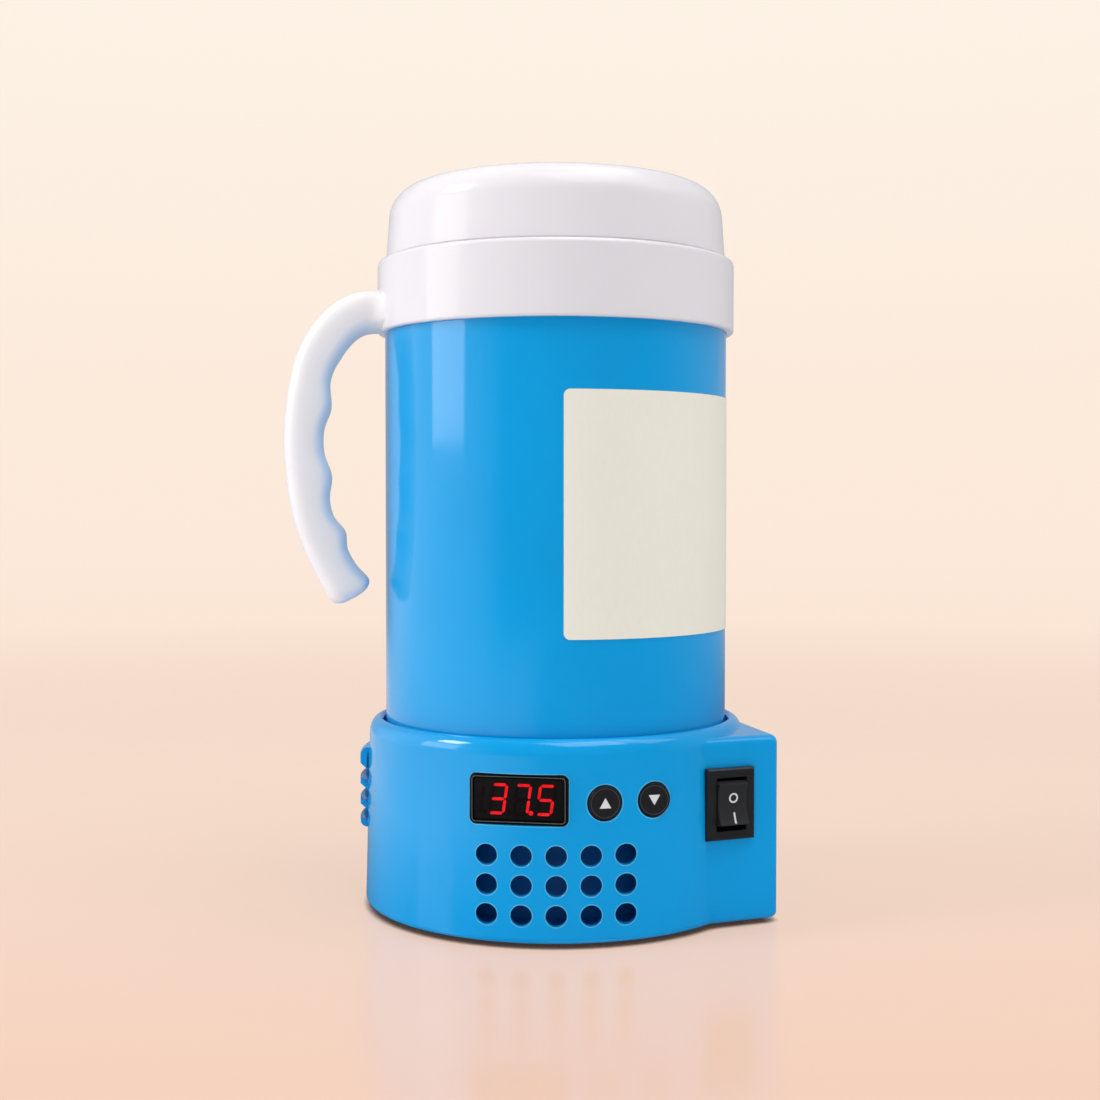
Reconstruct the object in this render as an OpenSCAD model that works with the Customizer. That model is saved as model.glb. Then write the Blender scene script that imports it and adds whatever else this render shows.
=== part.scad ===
// Electric heating cup: an insulated cup that lifts off a round heating base.
// Millimetres, +Z up, origin on the table at the cup's axis, display side facing -Y.

/* [Cup] */
// Outer radius of the cup's shell
cup_r = 53; // [49:0.5:60]
// Wall of the cup's outer shell
shell_wall = 1.6; // [1.2:0.1:2]
// Height from the heating plate to the lower edge of the collar
cup_body_h = 123.7; // [110:0.1:150]
// Space between the shell and the steel liner
liner_gap = 4.4; // [3.5:0.1:8]
// Sheet thickness of the steel liner
liner_wall = 0.8; // [0.6:0.1:1.2]
// Corner radius at the bottom of the liner
liner_corner = 6; // [3:0.5:9]

/* [Collar] */
// How far the collar stands out from the shell
collar_out = 2.3; // [2:0.1:4]
// Height of the collar
collar_h = 21.9; // [20:0.1:30]
// Depth to which the collar's skirt covers the shell
skirt_h = 9.7; // [8:0.1:11]
// Rounding of the collar's upper edge
collar_round = 1.4; // [0.5:0.1:2]

/* [Lid] */
// How far the lid's lower edge sits inside the collar's outer edge
lid_inset = 2.7; // [2:0.1:4]
// Height of the lid above its lower edge
lid_h = 27.6; // [24:0.1:34]
// Inward lean of the lid's side wall
lid_draft = 0.9; // [0.3:0.1:2]
// Radius of the lid's shoulder
lid_shoulder_r = 10; // [8:0.5:13]
// Radius of the lid's shallow crown
lid_crown_r = 190; // [150:5:260]
// Wall of the lid
lid_wall = 2.4; // [1.8:0.1:3]
// Height of the seat for the plug inside the lid
lid_seat_h = 4.1; // [3:0.1:6]

/* [Base] */
// Height of the base's rim above the table
base_h = 58.3; // [57:0.1:72]
// Width of the rim around the cup
rim_w = 4.1; // [3.6:0.1:6]
// Outward lean of the base's wall from rim to foot
base_draft = 1.4; // [0.4:0.1:3]
// Wall of the base
base_wall = 2.4; // [1.8:0.1:2.8]
// Depth of the well that takes the cup
well_depth = 6; // [5:0.1:8]
// Thickness of the well's floor
well_floor_t = 2.4; // [2:0.1:3]
// Width of the rounding of the rim's outer edge
rim_round = 3.3; // [1.5:0.1:3.4]
// Height of the rounding of the rim's outer edge
rim_drop = 4.7; // [2:0.1:5.2]
// Rounding of the base's lower edge
foot_round = 1.8; // [0.8:0.1:2]
// Height of the housing's lower edge above the table
foot_gap = 1.2; // [0.8:0.1:2.5]

/* [Switch block] */
// Direction that the block's flat face looks in, from the front towards the right
block_az = 22; // [16:1:28]
// How far the flat face lies inside the base's rim radius
block_setback = 5.7; // [4.5:0.1:7]
// Reach of the block's corner beyond the base's rim radius
block_reach = 14.6; // [12:0.1:18]
// Rounding of the block's upright corner
block_corner = 3; // [2.6:0.1:4]
// Rounding of the block's upper edge
block_round = 2.4; // [1:0.1:2.6]
// Drop from the base's rim to the top of the block
block_drop = 2.5; // [2:0.1:5]

/* [Rocker switch] */
// Width of the switch's frame
switch_w = 15.5; // [14:0.1:17]
// Height of the switch's frame
switch_h = 21; // [19:0.1:23]
// Thickness of the frame on the face
switch_lip = 2; // [1.4:0.1:2.6]
// Margin of the frame beyond its body
switch_margin = 1.2; // [0.9:0.1:1.8]
// Depth of the switch's body behind the face
switch_depth = 16; // [14:0.5:18]
// Distance from the block's corner to the middle of the switch
switch_inset = 17; // [16:0.1:19]
// Drop from the base's rim to the middle of the switch
switch_drop = 21.6; // [20:0.1:25]
// Width of the rocker
rocker_w = 9.4; // [8:0.1:9.6]
// Height of the rocker's front
rocker_h = 11.8; // [11.2:0.1:12]
// Room above and below the rocker in its frame
rocker_room = 1.9; // [1.8:0.1:2.1]
// How far the rocker's ends widen towards the frame
rocker_flare = 1; // [0.4:0.1:1.1]
// Tilt of the rocker to each side of the middle
rocker_tilt = 5; // [4:0.5:6]
// Hollow in the rocker's front
rocker_dish = 1.4; // [0.6:0.1:2]

/* [Display] */
// Direction that the display looks in
display_az = -10.6; // [-14:0.1:-10]
// Width of the display's frame
display_w = 28; // [25:0.1:28]
// Height of the display's frame
display_h = 14.1; // [13:0.1:16]
// Border of the frame round the digits' face
display_border = 1; // [1:0.1:1.6]
// Corner radius of the frame
display_corner = 1.7; // [1:0.1:2.5]
// How far the frame's front lies below the wall's crest
display_sink = 0.8; // [0.4:0.1:1.2]
// Drop from the base's rim to the middle of the display
display_drop = 16.8; // [16:0.1:18]
// Height of a digit
digit_h = 8.8; // [8:0.1:9.4]
// Width of a digit
digit_w = 4.8; // [4.4:0.1:5]
// Distance from digit to digit
digit_pitch = 6.8; // [6.4:0.1:6.8]
// Width of a lit bar
bar_w = 0.8; // [0.7:0.1:1.2]
// Slant of the digits
digit_slant = 8; // [0:1:10]

/* [Buttons] */
// Diameter of a button's cap
button_d = 9.7; // [9:0.1:10.6]
// Direction that both buttons are pressed along
button_az = 14; // [13:0.5:16]
// Sideways place of the first button
button_x = -0.5; // [-0.8:0.1:0.4]
// Distance from button to button
button_pitch = 14.9; // [14.4:0.1:16]
// How far the caps stand out from the wall's crest
button_proud = 0.5; // [0.2:0.1:1]
// Drop from the base's rim to the middle of the buttons
button_drop = 17.7; // [17:0.1:19]
// Travel of a button
button_travel = 0.8; // [0.4:0.1:1]

/* [Vents] */
// Diameter of a front vent hole
vent_d = 6; // [4:0.1:6.6]
// Sideways distance from hole to hole
vent_pitch_x = 9.8; // [9:0.1:10.4]
// Upright distance from row to row
vent_pitch_z = 8.35; // [7.6:0.05:8.5]
// Columns of holes
vent_cols = 5; // [3:2:5]
// Rows of holes
vent_rows = 3; // [2:1:3]
// Drop from the base's rim to the upper row
vent_drop = 32.4; // [31:0.1:33]
// Direction that the side louvre looks in
louvre_az = -100; // [-104:1:-98]
// Angle that the side louvre spans
louvre_arc = 34; // [28:1:36]
// Height of the side louvre
louvre_h = 24.7; // [20:0.1:26]
// Drop from the base's rim to the middle of the louvre
louvre_drop = 22.1; // [21:0.1:24]
// How far the louvre stands out from the wall
louvre_out = 2.5; // [1.5:0.1:3.5]
// Openings in the louvre
louvre_slots = 3; // [2:1:4]
// Thickness of a louvre blade
louvre_blade = 2.2; // [1.2:0.1:2.6]
// Rise of a louvre slot from the wall to the outside
louvre_rise = 2.3; // [0:0.1:3]

/* [Heater] */
// Radius of the heating plate's raised face
plate_r = 36; // [30:0.5:37]
// How far the plate stands above the well's floor
plate_proud = 0.7; // [0.4:0.1:1.2]
// Width of the plate's flange under the floor
plate_flange = 4; // [3:0.1:4.5]
// Thickness of the plate's flange
plate_flange_t = 2; // [1.5:0.1:3]
// Thickness of the plate's seal
seal_t = 1; // [0.6:0.1:1.5]
// Height of the heating ring
heater_t = 4; // [3:0.1:5]
// Inner radius of the heating ring
heater_ri = 16; // [15:0.5:20]
// Outer radius of the heating ring
heater_ro = 33; // [26:0.5:35]
// Thickness of the insulating pad
pad_t = 1.5; // [1:0.1:2.5]
// Thickness of the clamping plate
clamp_t = 1.2; // [0.8:0.1:2]
// Radius of the temperature probe
probe_r = 3.5; // [2.5:0.1:3.6]
// Radius of the probe's flange
probe_flange_r = 6; // [5:0.1:6.2]
// Distance of the thermal cut-off from the axis
cutoff_x = 10.6; // [10.2:0.1:11]
// Radius of the thermal cut-off
cutoff_r = 3.2; // [2.4:0.1:3.6]
// Drop of the probe and the cut-off below the plate
probe_drop = 8; // [6:0.1:10]

/* [Handle] */
// Direction that the handle points in
handle_az = -80; // [-90:1:-72]
// Height of the handle's root above the collar's lower edge
handle_rise = 6.2; // [6:0.1:7]
// Width of the grip
grip_w = 19; // [16:0.5:24]
// Thickness of the grip
grip_t = 12.8; // [11:0.1:15]
// Width of the root on the collar
root_w = 27; // [24:0.5:32]
// Depth of the finger hollows
finger_depth = 0.9; // [0:0.1:1.3]
// Distance from finger to finger
finger_pitch = 19.3; // [17:0.1:23]
// Squareness of the grip's outer side
grip_square = 3.4; // [2:0.1:4]
// Depth of the rounding on the grip's inner side
grip_fold = 4.2; // [3.5:0.1:4.8]
// Sideways distance between the handle's two screws
handle_screw_pitch = 12; // [9:0.1:14]

/* [Label] */
// Direction of the label's left edge
label_az = 2.3; // [0:0.1:10]
// Angle that the label wraps round
label_arc = 110; // [60:1:160]
// Height of the label
label_h = 70.5; // [40:0.5:80]
// Height of the label's lower edge above the heating plate
label_rise = 33; // [20:0.1:38]
// Thickness of the label
label_t = 0.25; // [0.2:0.05:0.5]
// Corner radius of the label
label_corner = 2; // [0.5:0.1:4]

/* [Bottom] */
// Thickness of the bottom cover
cover_t = 2.6; // [2.2:0.1:3.2]
// How far the cover lies inside the housing's lower edge
cover_up = 0.4; // [0:0.1:1]
// Middle radius of the rubber foot ring
foot_ring_r = 47; // [43:0.5:47.5]
// Width of the rubber foot ring
foot_ring_w = 5; // [3:0.5:6]
// Air slots in the cover
cover_slots = 12; // [6:1:16]
// Height of the circuit board above the cover
board_rise = 6.8; // [4:0.1:9]
// Height of the transformer
transformer_h = 18; // [14:0.5:20]

/* [Power inlet] */
// Width of the inlet's flange
inlet_w = 30; // [28:0.1:34]
// Height of the inlet's flange
inlet_h = 22; // [21:0.1:25]
// Thickness of the inlet's flange
inlet_lip = 2; // [1.2:0.1:3]
// Margin of the flange beyond the inlet's body
inlet_margin = 1.6; // [1.2:0.1:2.5]
// Wall of the inlet's body round its recess
inlet_wall = 1.4; // [1:0.1:2]
// Depth of the inlet's recess
inlet_recess = 17; // [14:0.5:18]
// Thickness of the inlet's back wall
inlet_back = 5; // [4:0.5:7]
// Height of the inlet's middle above the table
inlet_z = 20; // [18.5:0.1:24]
// Margin of the flat land round the flange
land_margin = 2; // [1.5:0.1:3]

/* [Fits] */
// Clearance between the cup and the well
well_gap = 0.9; // [0.5:0.1:1.5]
// Clearance of a sliding or turning piece
run_gap = 0.25; // [0.2:0.05:0.3]
// Clearance of a fixed piece in its opening
fix_gap = 0.15; // [0.1:0.05:0.25]
// Clearance of a screw in its hole
screw_gap = 0.1; // [0.05:0.05:0.2]
// Seam between the lid and the collar
lid_seam = 0.3; // [0.3:0.1:0.8]

/* [Hidden] */
$fn = 96;
eps = 0.05;
BLUE = [0.05, 0.42, 0.86];
WHITE = [0.95, 0.95, 0.95];
BLACK = [0.06, 0.06, 0.07];
STEEL = [0.72, 0.73, 0.75];
ALU = [0.8, 0.81, 0.83];
BRASS = [0.78, 0.62, 0.3];
BOARD = [0.1, 0.35, 0.2];

// Heights of the base, from the table up
cover_z0 = foot_gap + cover_up;
cover_z1 = cover_z0 + cover_t;
board_z0 = cover_z1 + board_rise;
board_t = 1.6;
board_z1 = board_z0 + board_t;
well_z = base_h - well_depth;
floor_z = well_z - well_floor_t;
flange_z1 = floor_z - seal_t;
plate_z0 = flange_z1 - plate_flange_t;
heater_z0 = plate_z0 - heater_t;
pad_z0 = heater_z0 - pad_t;
clamp_z0 = pad_z0 - clamp_t;
seat_z = well_z + plate_proud;

// Radii of the base
well_r = cup_r + well_gap;
base_rt = well_r + rim_w;
base_rb = base_rt + base_draft;
function base_r(z) = base_rb - base_draft * (z - foot_gap) / (base_h - foot_gap);
function inner_r(z) = base_r(z) - base_wall;

// Switch block: its flat face, its side wall touching the round wall, and its corner
block_p = base_rt - block_setback;
block_r = base_rt - 0.5;
block_len = base_rt + block_reach;
block_t = sqrt(pow(block_len, 2) - pow(block_p, 2));
block_side = atan2(-block_p, block_t) + acos(block_r / block_len);
block_z1 = base_h - block_drop;
function block_at(d) = [
    (block_r - d + (block_p - d) * sin(block_side)) / cos(block_side),
    -(block_p - d)
];
function block_foot(d) = (block_r - d) * [cos(block_side), sin(block_side)];
function block_plan(d) = [[0, 0], [block_p / 5, -(block_p - d)], block_at(d), block_foot(d)];

// Screws
screw_r = 1.4;
screw_head_r = 2.9;
screw_head_t = 1.2;
post_r = 4.4;
post_in = 4;
post_h = 18;
post_az = [-45, -135, 135];
post_ring = inner_r(cover_z1) - post_in;

// Heater posts
heat_post_r = 3;
heat_post_ring = plate_r + plate_flange + 1 + heat_post_r;
heat_post_az = [81, 201, 321];
clamp_hole = heater_ri - 2;

// Display
display_z = base_h - display_drop;
display_q = base_r(display_z) - display_sink;
display_lip = 1.2;
display_lip_t = 1.6;
display_edge = display_w / 2 + display_lip;
display_lip_q = sqrt(pow(inner_r(display_z + display_h / 2 + display_lip), 2) - pow(display_edge, 2)) - run_gap;
display_face_q = display_q - 0.6;
display_back_q = display_lip_q - display_lip_t - 1.6;
segment_t = 0.15;
point_r = 0.8 * bar_w;

// Buttons
button_z = base_h - button_drop;
function button_q(x) = sqrt(pow(base_r(button_z), 2) - pow(x, 2)) + button_proud;
button_far = button_x + button_pitch;
button_lip = 0.9;
button_lip_t = 1.2;
guide_wall = 1.6;
guide_r = button_d / 2 + run_gap + guide_wall;
guide_q = sqrt(pow(inner_r(button_z), 2) - pow(button_far + guide_r, 2)) - 0.2;
button_lip_q = guide_q - 0.3;
tact_h = 3.5;
tact_w = 6;
tact_q1 = button_lip_q - button_lip_t - button_travel - 0.5;
tact_q0 = tact_q1 - tact_h;
stem_r = 1.5;
stem_end_q = tact_q0 + button_travel + 0.6;
button_board_q0 = tact_q0 - board_t;
button_board_x0 = button_x - 6;
button_board_x1 = button_far + 6.6;
button_board_h = 13;

// Switch
switch_t = block_at(0)[0] - switch_inset;
switch_z = base_h - switch_drop;
switch_bevel = 0.5;
switch_body_w = switch_w - 2 * switch_margin;
switch_body_h = switch_h - 2 * switch_margin;
switch_back_p = block_p - switch_depth;
rocker_front_p = block_p + switch_lip + 1.9;
rocker_shift = 0.6;
rocker_flank = 2.2;
rocker_pivot_p = block_p - 4.8;
rocker_pin_r = 1.2;
rocker_pin_in = 1.2;
rocker_reach = rocker_front_p - rocker_pivot_p;
rocker_open_w = rocker_w + 2 * run_gap;
rocker_open_h = rocker_h + 2 * rocker_room;
rocker_open_p = rocker_pivot_p - 4;

// Louvre
louvre_z = base_h - louvre_drop;
louvre_z0 = louvre_z - louvre_h / 2;
louvre_z1 = louvre_z + louvre_h / 2;
louvre_r1 = base_r(louvre_z) + louvre_out;
louvre_r0 = inner_r(louvre_z1) - run_gap;
louvre_lip = 1.3;
louvre_lip_t = 1.4;
louvre_end = 3;
louvre_bar = 1.5;
louvre_hood = 7;
louvre_slit = 0.6;
louvre_pitch = (louvre_h - louvre_bar - louvre_hood + louvre_blade) / louvre_slots;

// Inlet
inlet_q = base_r(inlet_z - inlet_h / 2);
inlet_body_w = inlet_w - 2 * inlet_margin;
inlet_body_h = inlet_h - 2 * inlet_margin;
inlet_recess_w = inlet_body_w - 2 * inlet_wall;
inlet_recess_h = inlet_body_h - 2 * inlet_wall;
inlet_floor_q = inlet_q + inlet_lip - inlet_recess;
inlet_pin = [2, 4];
inlet_pin_l = 13.5;
inlet_tail_l = 7;
inlet_pins_at = [[-7, -1.5], [7, -1.5], [0, 2.5]];

// Heights of the cup
shell_floor_t = 1.8;
shell_z0 = seat_z + 0.4;
shell_z1 = shell_z0 + shell_floor_t;
disc_t = 2;
liner_z0 = shell_z1 + disc_t;
collar_z0 = seat_z + cup_body_h;
collar_z1 = collar_z0 + collar_h;
shelf_z0 = collar_z0 + skirt_h;
shelf_t = 2;
shelf_z1 = shelf_z0 + shelf_t;
rim_seal_t = 1;
liner_rim_z0 = shelf_z1 + rim_seal_t;
liner_rim_z1 = liner_rim_z0 + liner_wall;
gasket_t = 1.4;
plug_z0 = liner_rim_z1 + gasket_t;

// Radii of the cup
shell_ri = cup_r - shell_wall;
liner_r = shell_ri - liner_gap;
disc_r = plate_r + 0.2;
collar_r = cup_r + collar_out;
rim_flange = 2.6;
rim_r = liner_r + rim_flange;
bore_r = rim_r + 0.4;
plug_r = bore_r - 0.4;

// Lid
lid_r = collar_r - lid_inset;
lid_z0 = collar_z1 + lid_seam;
lid_z1 = lid_z0 + lid_h;
lid_seat_z = lid_z0 + lid_seat_h;
lid_cx = lid_r - lid_draft - lid_shoulder_r;
lid_cz = lid_z1 - lid_crown_r + sqrt(pow(lid_crown_r - lid_shoulder_r, 2) - pow(lid_cx, 2));
lid_join = atan2(lid_cz - lid_z1 + lid_crown_r, lid_cx);
plug_wall = 2.2;

// Handle
handle_z = collar_z0 + handle_rise;
handle_path = [
    [-2, 0], [6, -1], [13, -6], [18.6, -15], [21.4, -27], [22.4, -39],
    [21.6, -51], [19.8, -62], [16.6, -71], [12.6, -79], [8, -87.6]
];
handle_steps = 4;
handle_tip = 0.55;
handle_tip_rings = 8;
handle_sides = 28;
handle_first = 4.13;
handle_screw_l = 14;
handle_seat_q = sqrt(pow(shell_ri, 2) - pow(handle_screw_pitch / 2 + screw_head_r, 2)) - eps;

// Points of an arc about [cx, cy]
function arc(cx, cy, r, a0, a1, n) = [
    for (i = [0 : n]) let (a = a0 + (a1 - a0) * i / n) [cx + r * cos(a), cy + r * sin(a)]
];
// Point on a smooth curve through the points p
function along(p, u) = let (
    n = len(p) - 1,
    i = min(floor(u), n - 1),
    t = u - i,
    a = p[max(i - 1, 0)],
    b = p[i],
    c = p[i + 1],
    d = p[min(i + 2, n)]
) 0.5 * (2 * b + (c - a) * t + (2 * a - 5 * b + 4 * c - d) * t * t + (3 * b - a - 3 * c + d) * t * t * t);
function unit(v) = v / norm(v);
function power(x, e) = sign(x) * pow(abs(x), e);

// Turns the front (-Y) to the direction az
module at_az(az) {
    rotate([0, 0, az]) children();
}
// Draws a flat shape, x across and y up, from distance q0 to q1 in front of the axis
module outward(q0, q1) {
    translate([0, -q0, 0]) rotate([90, 0, 0]) linear_extrude(q1 - q0) children();
}
module round_rect(w, h, r) {
    square([w - 2 * r, h], center = true);
    square([w, h - 2 * r], center = true);
    for (x = [-1, 1]) for (y = [-1, 1]) translate([x * (w / 2 - r), y * (h / 2 - r)]) circle(r);
}
// Plate from distance q0 to q1 in front of the axis, with a bevel b round its front
module bevel_plate(w, h, q0, q1, b) {
    intersection() {
        outward(q0, q1) square([w, h], center = true);
        translate([-w, 0, 0]) rotate([90, 0, 90]) linear_extrude(2 * w) polygon(bevel_outline(h / 2, q0, q1, b));
        translate([0, 0, -h]) linear_extrude(2 * h) polygon([for (p = bevel_outline(w / 2, q0, q1, b)) [p[1], p[0]]]);
    }
}
function bevel_outline(s, q0, q1, b) = [
    [1 - q0, -s - 1], [1 + b - q1, -s - 1], [-q1 - 1, 1 + b - s],
    [-q1 - 1, s - b - 1], [1 + b - q1, s + 1], [1 - q0, s + 1]
];
module ring(ri, ro, z0, z1) {
    translate([0, 0, z0]) difference() {
        cylinder(r = ro, h = z1 - z0);
        translate([0, 0, -1]) cylinder(r = ri, h = z1 - z0 + 2);
    }
}
// Part of a ring from azimuth az over the angle a, with the given flat section
module sweep_az(az, a) {
    rotate([0, 0, az - 90]) rotate_extrude(angle = a) children();
}
module section_box(r0, r1, z0, z1) {
    polygon([[r0, z0], [r1, z0], [r1, z1], [r0, z1]]);
}
// Screw with its head's seat at z = 0 and its shank along +Z
module screw(l) {
    difference() {
        union() {
            translate([0, 0, -screw_head_t / 2]) cylinder(r = screw_r, h = l + screw_head_t / 2);
            translate([0, 0, -screw_head_t]) cylinder(r = screw_head_r, h = screw_head_t);
        }
        translate([-screw_head_r, -0.4, -screw_head_t - 1]) cube([2 * screw_head_r, 0.8, 1.5]);
    }
}
module at_cover_posts() {
    for (a = post_az) at_az(a) translate([0, -post_ring, 0]) children();
    at_az(block_az) translate(concat(block_at(base_wall + post_in), 0)) children();
}
module at_heat_posts() {
    for (a = heat_post_az) at_az(a) translate([0, -heat_post_ring, 0]) children();
}
board_x0 = -40;
board_x1 = 26;
board_y0 = -20;
board_y1 = 24;
module at_board_posts() {
    for (x = [board_x0 + 4, board_x1 - 4]) for (y = [board_y0 + 4, board_y1 - 4]) translate([x, y, 0]) children();
}

// Upright edge profile of the switch block: x outward from its inset line, y up
module block_edge() {
    polygon(concat(
        [[-1, foot_gap]],
        arc(block_corner - foot_round, foot_gap + foot_round, foot_round, -90, 0, 6),
        arc(block_corner - block_round, block_z1 - block_round, block_round, 0, 90, 8),
        [[-1, block_z1]]
    ));
}
module switch_block() {
    c = block_at(block_corner);
    f = block_foot(block_corner);
    at_az(block_az) {
        translate([0, 0, foot_gap]) linear_extrude(block_z1 - foot_gap) polygon(block_plan(block_corner));
        translate(concat(c, 0)) rotate_extrude() intersection() {
            block_edge();
            translate([0, 0]) square([block_corner, base_h]);
        }
        translate(concat(c, 0)) rotate([0, 0, -90]) rotate([90, 0, 0]) linear_extrude(c[0] - block_p / 5) block_edge();
        translate(concat(f, 0)) rotate([0, 0, block_side]) rotate([90, 0, 0]) linear_extrude(norm(f - c)) block_edge();
    }
}
module base_solid() {
    rim_c = base_r(base_h - rim_drop) - rim_round;
    foot_c = base_r(foot_gap + foot_round) - foot_round;
    rotate_extrude() polygon(concat(
        [[0, foot_gap]],
        arc(foot_c, foot_gap + foot_round, foot_round, -90, 0, 6),
        [for (p = arc(0, 0, 1, 0, 90, 12)) [rim_c + rim_round * p[0], base_h - rim_drop + rim_drop * p[1]]],
        [[0, base_h]]
    ));
}
module base_cavity() {
    rotate_extrude() polygon([
        [0, foot_gap - 1], [inner_r(foot_gap - 1), foot_gap - 1], [inner_r(floor_z), floor_z], [0, floor_z]
    ]);
    at_az(block_az) {
        translate([0, 0, foot_gap - 1]) linear_extrude(floor_z - foot_gap + 1) polygon(block_plan(base_wall));
        difference() {
            translate([0, 0, floor_z - 1]) linear_extrude(block_z1 - base_wall - floor_z + 1) polygon(block_plan(base_wall));
            cylinder(r = well_r + base_wall, h = base_h + 1);
        }
    }
}
// Solid inside the middle of the base's wall, which trims what is moulded on the wall
module wall_core() {
    translate([0, 0, foot_gap]) cylinder(
        r1 = base_rb - base_wall / 2, r2 = base_rt - base_wall / 2, h = base_h - foot_gap
    );
}
module base_housing() {
    color(BLUE) difference() {
        union() {
            difference() {
                union() {
                    base_solid();
                    switch_block();
                    translate([0, 0, inlet_z]) at_az(180) outward(block_p, inlet_q)
                        round_rect(inlet_w + 2 * land_margin, inlet_h + 2 * land_margin, 3);
                }
                base_cavity();
            }
            intersection() {
                wall_core();
                union() {
                    translate([0, 0, button_z]) at_az(button_az) for (x = [button_x, button_far])
                        translate([x, 0, 0]) outward(guide_q, base_rb) circle(guide_r);
                }
            }
            at_cover_posts() translate([0, 0, cover_z1]) cylinder(r = post_r, h = post_h);
            at_heat_posts() translate([0, 0, pad_z0]) cylinder(r = heat_post_r, h = floor_z - pad_z0 + eps);
        }
        // Well for the cup and opening for the heating plate
        translate([0, 0, well_z]) cylinder(r = well_r, h = well_depth + 1);
        translate([0, 0, base_h - 0.8]) cylinder(r1 = well_r, r2 = well_r + 1, h = 1);
        translate([0, 0, floor_z - 1]) cylinder(r = plate_r + 0.4, h = well_floor_t + 2);
        // Front vent holes, pulled straight along Y
        for (i = [0 : vent_cols - 1]) for (k = [0 : vent_rows - 1])
            translate([(i - (vent_cols - 1) / 2) * vent_pitch_x, 0, base_h - vent_drop - k * vent_pitch_z])
                outward(block_p - 14, base_rb + 2) circle(vent_d / 2);
        // Display, buttons and switch
        translate([0, 0, display_z]) at_az(display_az) outward(display_back_q, base_rb + 2)
            round_rect(display_w + 2 * fix_gap, display_h + 2 * fix_gap, display_corner + fix_gap);
        translate([0, 0, button_z]) at_az(button_az) for (x = [button_x, button_far])
            translate([x, 0, 0]) outward(guide_q - 1, base_rb + 4) circle(button_d / 2 + run_gap);
        translate([0, 0, switch_z]) at_az(block_az) translate([switch_t, 0, 0]) {
            outward(block_p, base_rb + 2) square([switch_w + 2 * fix_gap, switch_h + 2 * fix_gap], center = true);
            outward(block_p - base_wall - 6, block_p + 1)
                square([switch_body_w + 2 * fix_gap, switch_body_h + 2 * fix_gap], center = true);
        }
        // Side louvre and power inlet
        sweep_az(louvre_az - louvre_arc / 2, louvre_arc)
            section_box(louvre_r0 - 4, louvre_r1 + 1, louvre_z0 - fix_gap, louvre_z1 + fix_gap);
        translate([0, 0, inlet_z]) at_az(180) outward(block_p - 10, inlet_q + 1)
            square([inlet_body_w + 2 * fix_gap, inlet_body_h + 2 * fix_gap], center = true);
        // Screw holes
        at_cover_posts() translate([0, 0, cover_z1 - 1]) cylinder(r = screw_r + screw_gap, h = 15);
        at_heat_posts() translate([0, 0, pad_z0 - 1]) cylinder(r = screw_r + screw_gap, h = floor_z - pad_z0 + 1);
    }
}
module bottom_cover() {
    color(BLACK) difference() {
        union() {
            translate([0, 0, cover_z0]) linear_extrude(cover_t) {
                circle(inner_r(cover_z1) - run_gap);
                at_az(block_az) polygon(block_plan(base_wall + run_gap));
            }
            at_board_posts() translate([0, 0, cover_z1 - eps]) cylinder(r = 3, h = board_rise + eps);
        }
        at_board_posts() translate([0, 0, cover_z1 + 1]) cylinder(r = 1 + screw_gap, h = board_rise);
        at_cover_posts() {
            translate([0, 0, cover_z0 - 1]) cylinder(r = screw_r + screw_gap, h = cover_t + 2);
            translate([0, 0, cover_z0 - 1]) cylinder(r = screw_head_r + 0.3, h = screw_head_t + 1.2);
        }
        for (i = [0 : cover_slots - 1]) rotate([0, 0, i * 360 / cover_slots])
            translate([10, -1.2, cover_z0 - 1]) cube([12, 2.4, cover_t + 2]);
    }
}
module foot_ring() {
    color(BLACK) ring(foot_ring_r - foot_ring_w / 2, foot_ring_r + foot_ring_w / 2, 0, cover_z0);
}
module cover_screws() {
    color(STEEL) at_cover_posts() translate([0, 0, cover_z0 + screw_head_t + 0.2]) screw(12);
}
module side_louvre() {
    z0 = louvre_z0;
    z1 = louvre_z1;
    rr = min(2, louvre_out);
    step = asin(louvre_end / louvre_r1);
    gap = asin(fix_gap / louvre_r0);
    az0 = louvre_az - louvre_arc / 2 + gap;
    span = louvre_arc - 2 * gap;
    lip = asin(louvre_lip / louvre_r0);
    hs = louvre_pitch - louvre_blade;
    back = louvre_r0 - louvre_lip_t;
    color(BLUE) difference() {
        union() {
            sweep_az(az0, span) polygon(concat(
                [[back + 0.4, z0]],
                arc(louvre_r1 - rr, z0 + rr, rr, -90, 0, 5),
                arc(louvre_r1 - rr, z1 - rr, rr, 0, 90, 5),
                [[back + 0.4, z1]]
            ));
            // Lip that stays behind the wall
            sweep_az(az0 - lip, span + 2 * lip) section_box(back, louvre_r0, z0 - louvre_lip, z1 + louvre_lip);
        }
        // Slots that rise towards the outside and are open at their front end, with the blades left between them
        for (k = [0 : louvre_slots - 1]) let (
            z = z0 + louvre_bar + k * louvre_pitch,
            r = base_r(z) + 0.2,
            rise = louvre_rise * (louvre_r1 + 1 - r) / louvre_out
        ) {
            sweep_az(az0 + step, span - step + 2) polygon([
                [louvre_r0 + 0.4, z], [r, z], [louvre_r1 + 1, z + rise],
                [louvre_r1 + 1, z + rise + hs], [r, z + hs], [louvre_r0 + 0.4, z + hs]
            ]);
            sweep_az(az0 + step + 0.5, span - 2 * step - 1) section_box(back - 1, louvre_r0 + 0.9, z + 0.2, z + hs - 0.2);
        }
        // Slit behind the hood over the top slot
        let (z = z1 - louvre_hood, r = base_r(z) + 0.1) sweep_az(az0 + span - 0.8 * step, step + 2)
            polygon([[r, z - 1], [r + louvre_slit, z - 1], [r + louvre_slit / 2, z1 - 1.6], [r, z1 - 1.6]]);
    }
}
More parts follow.
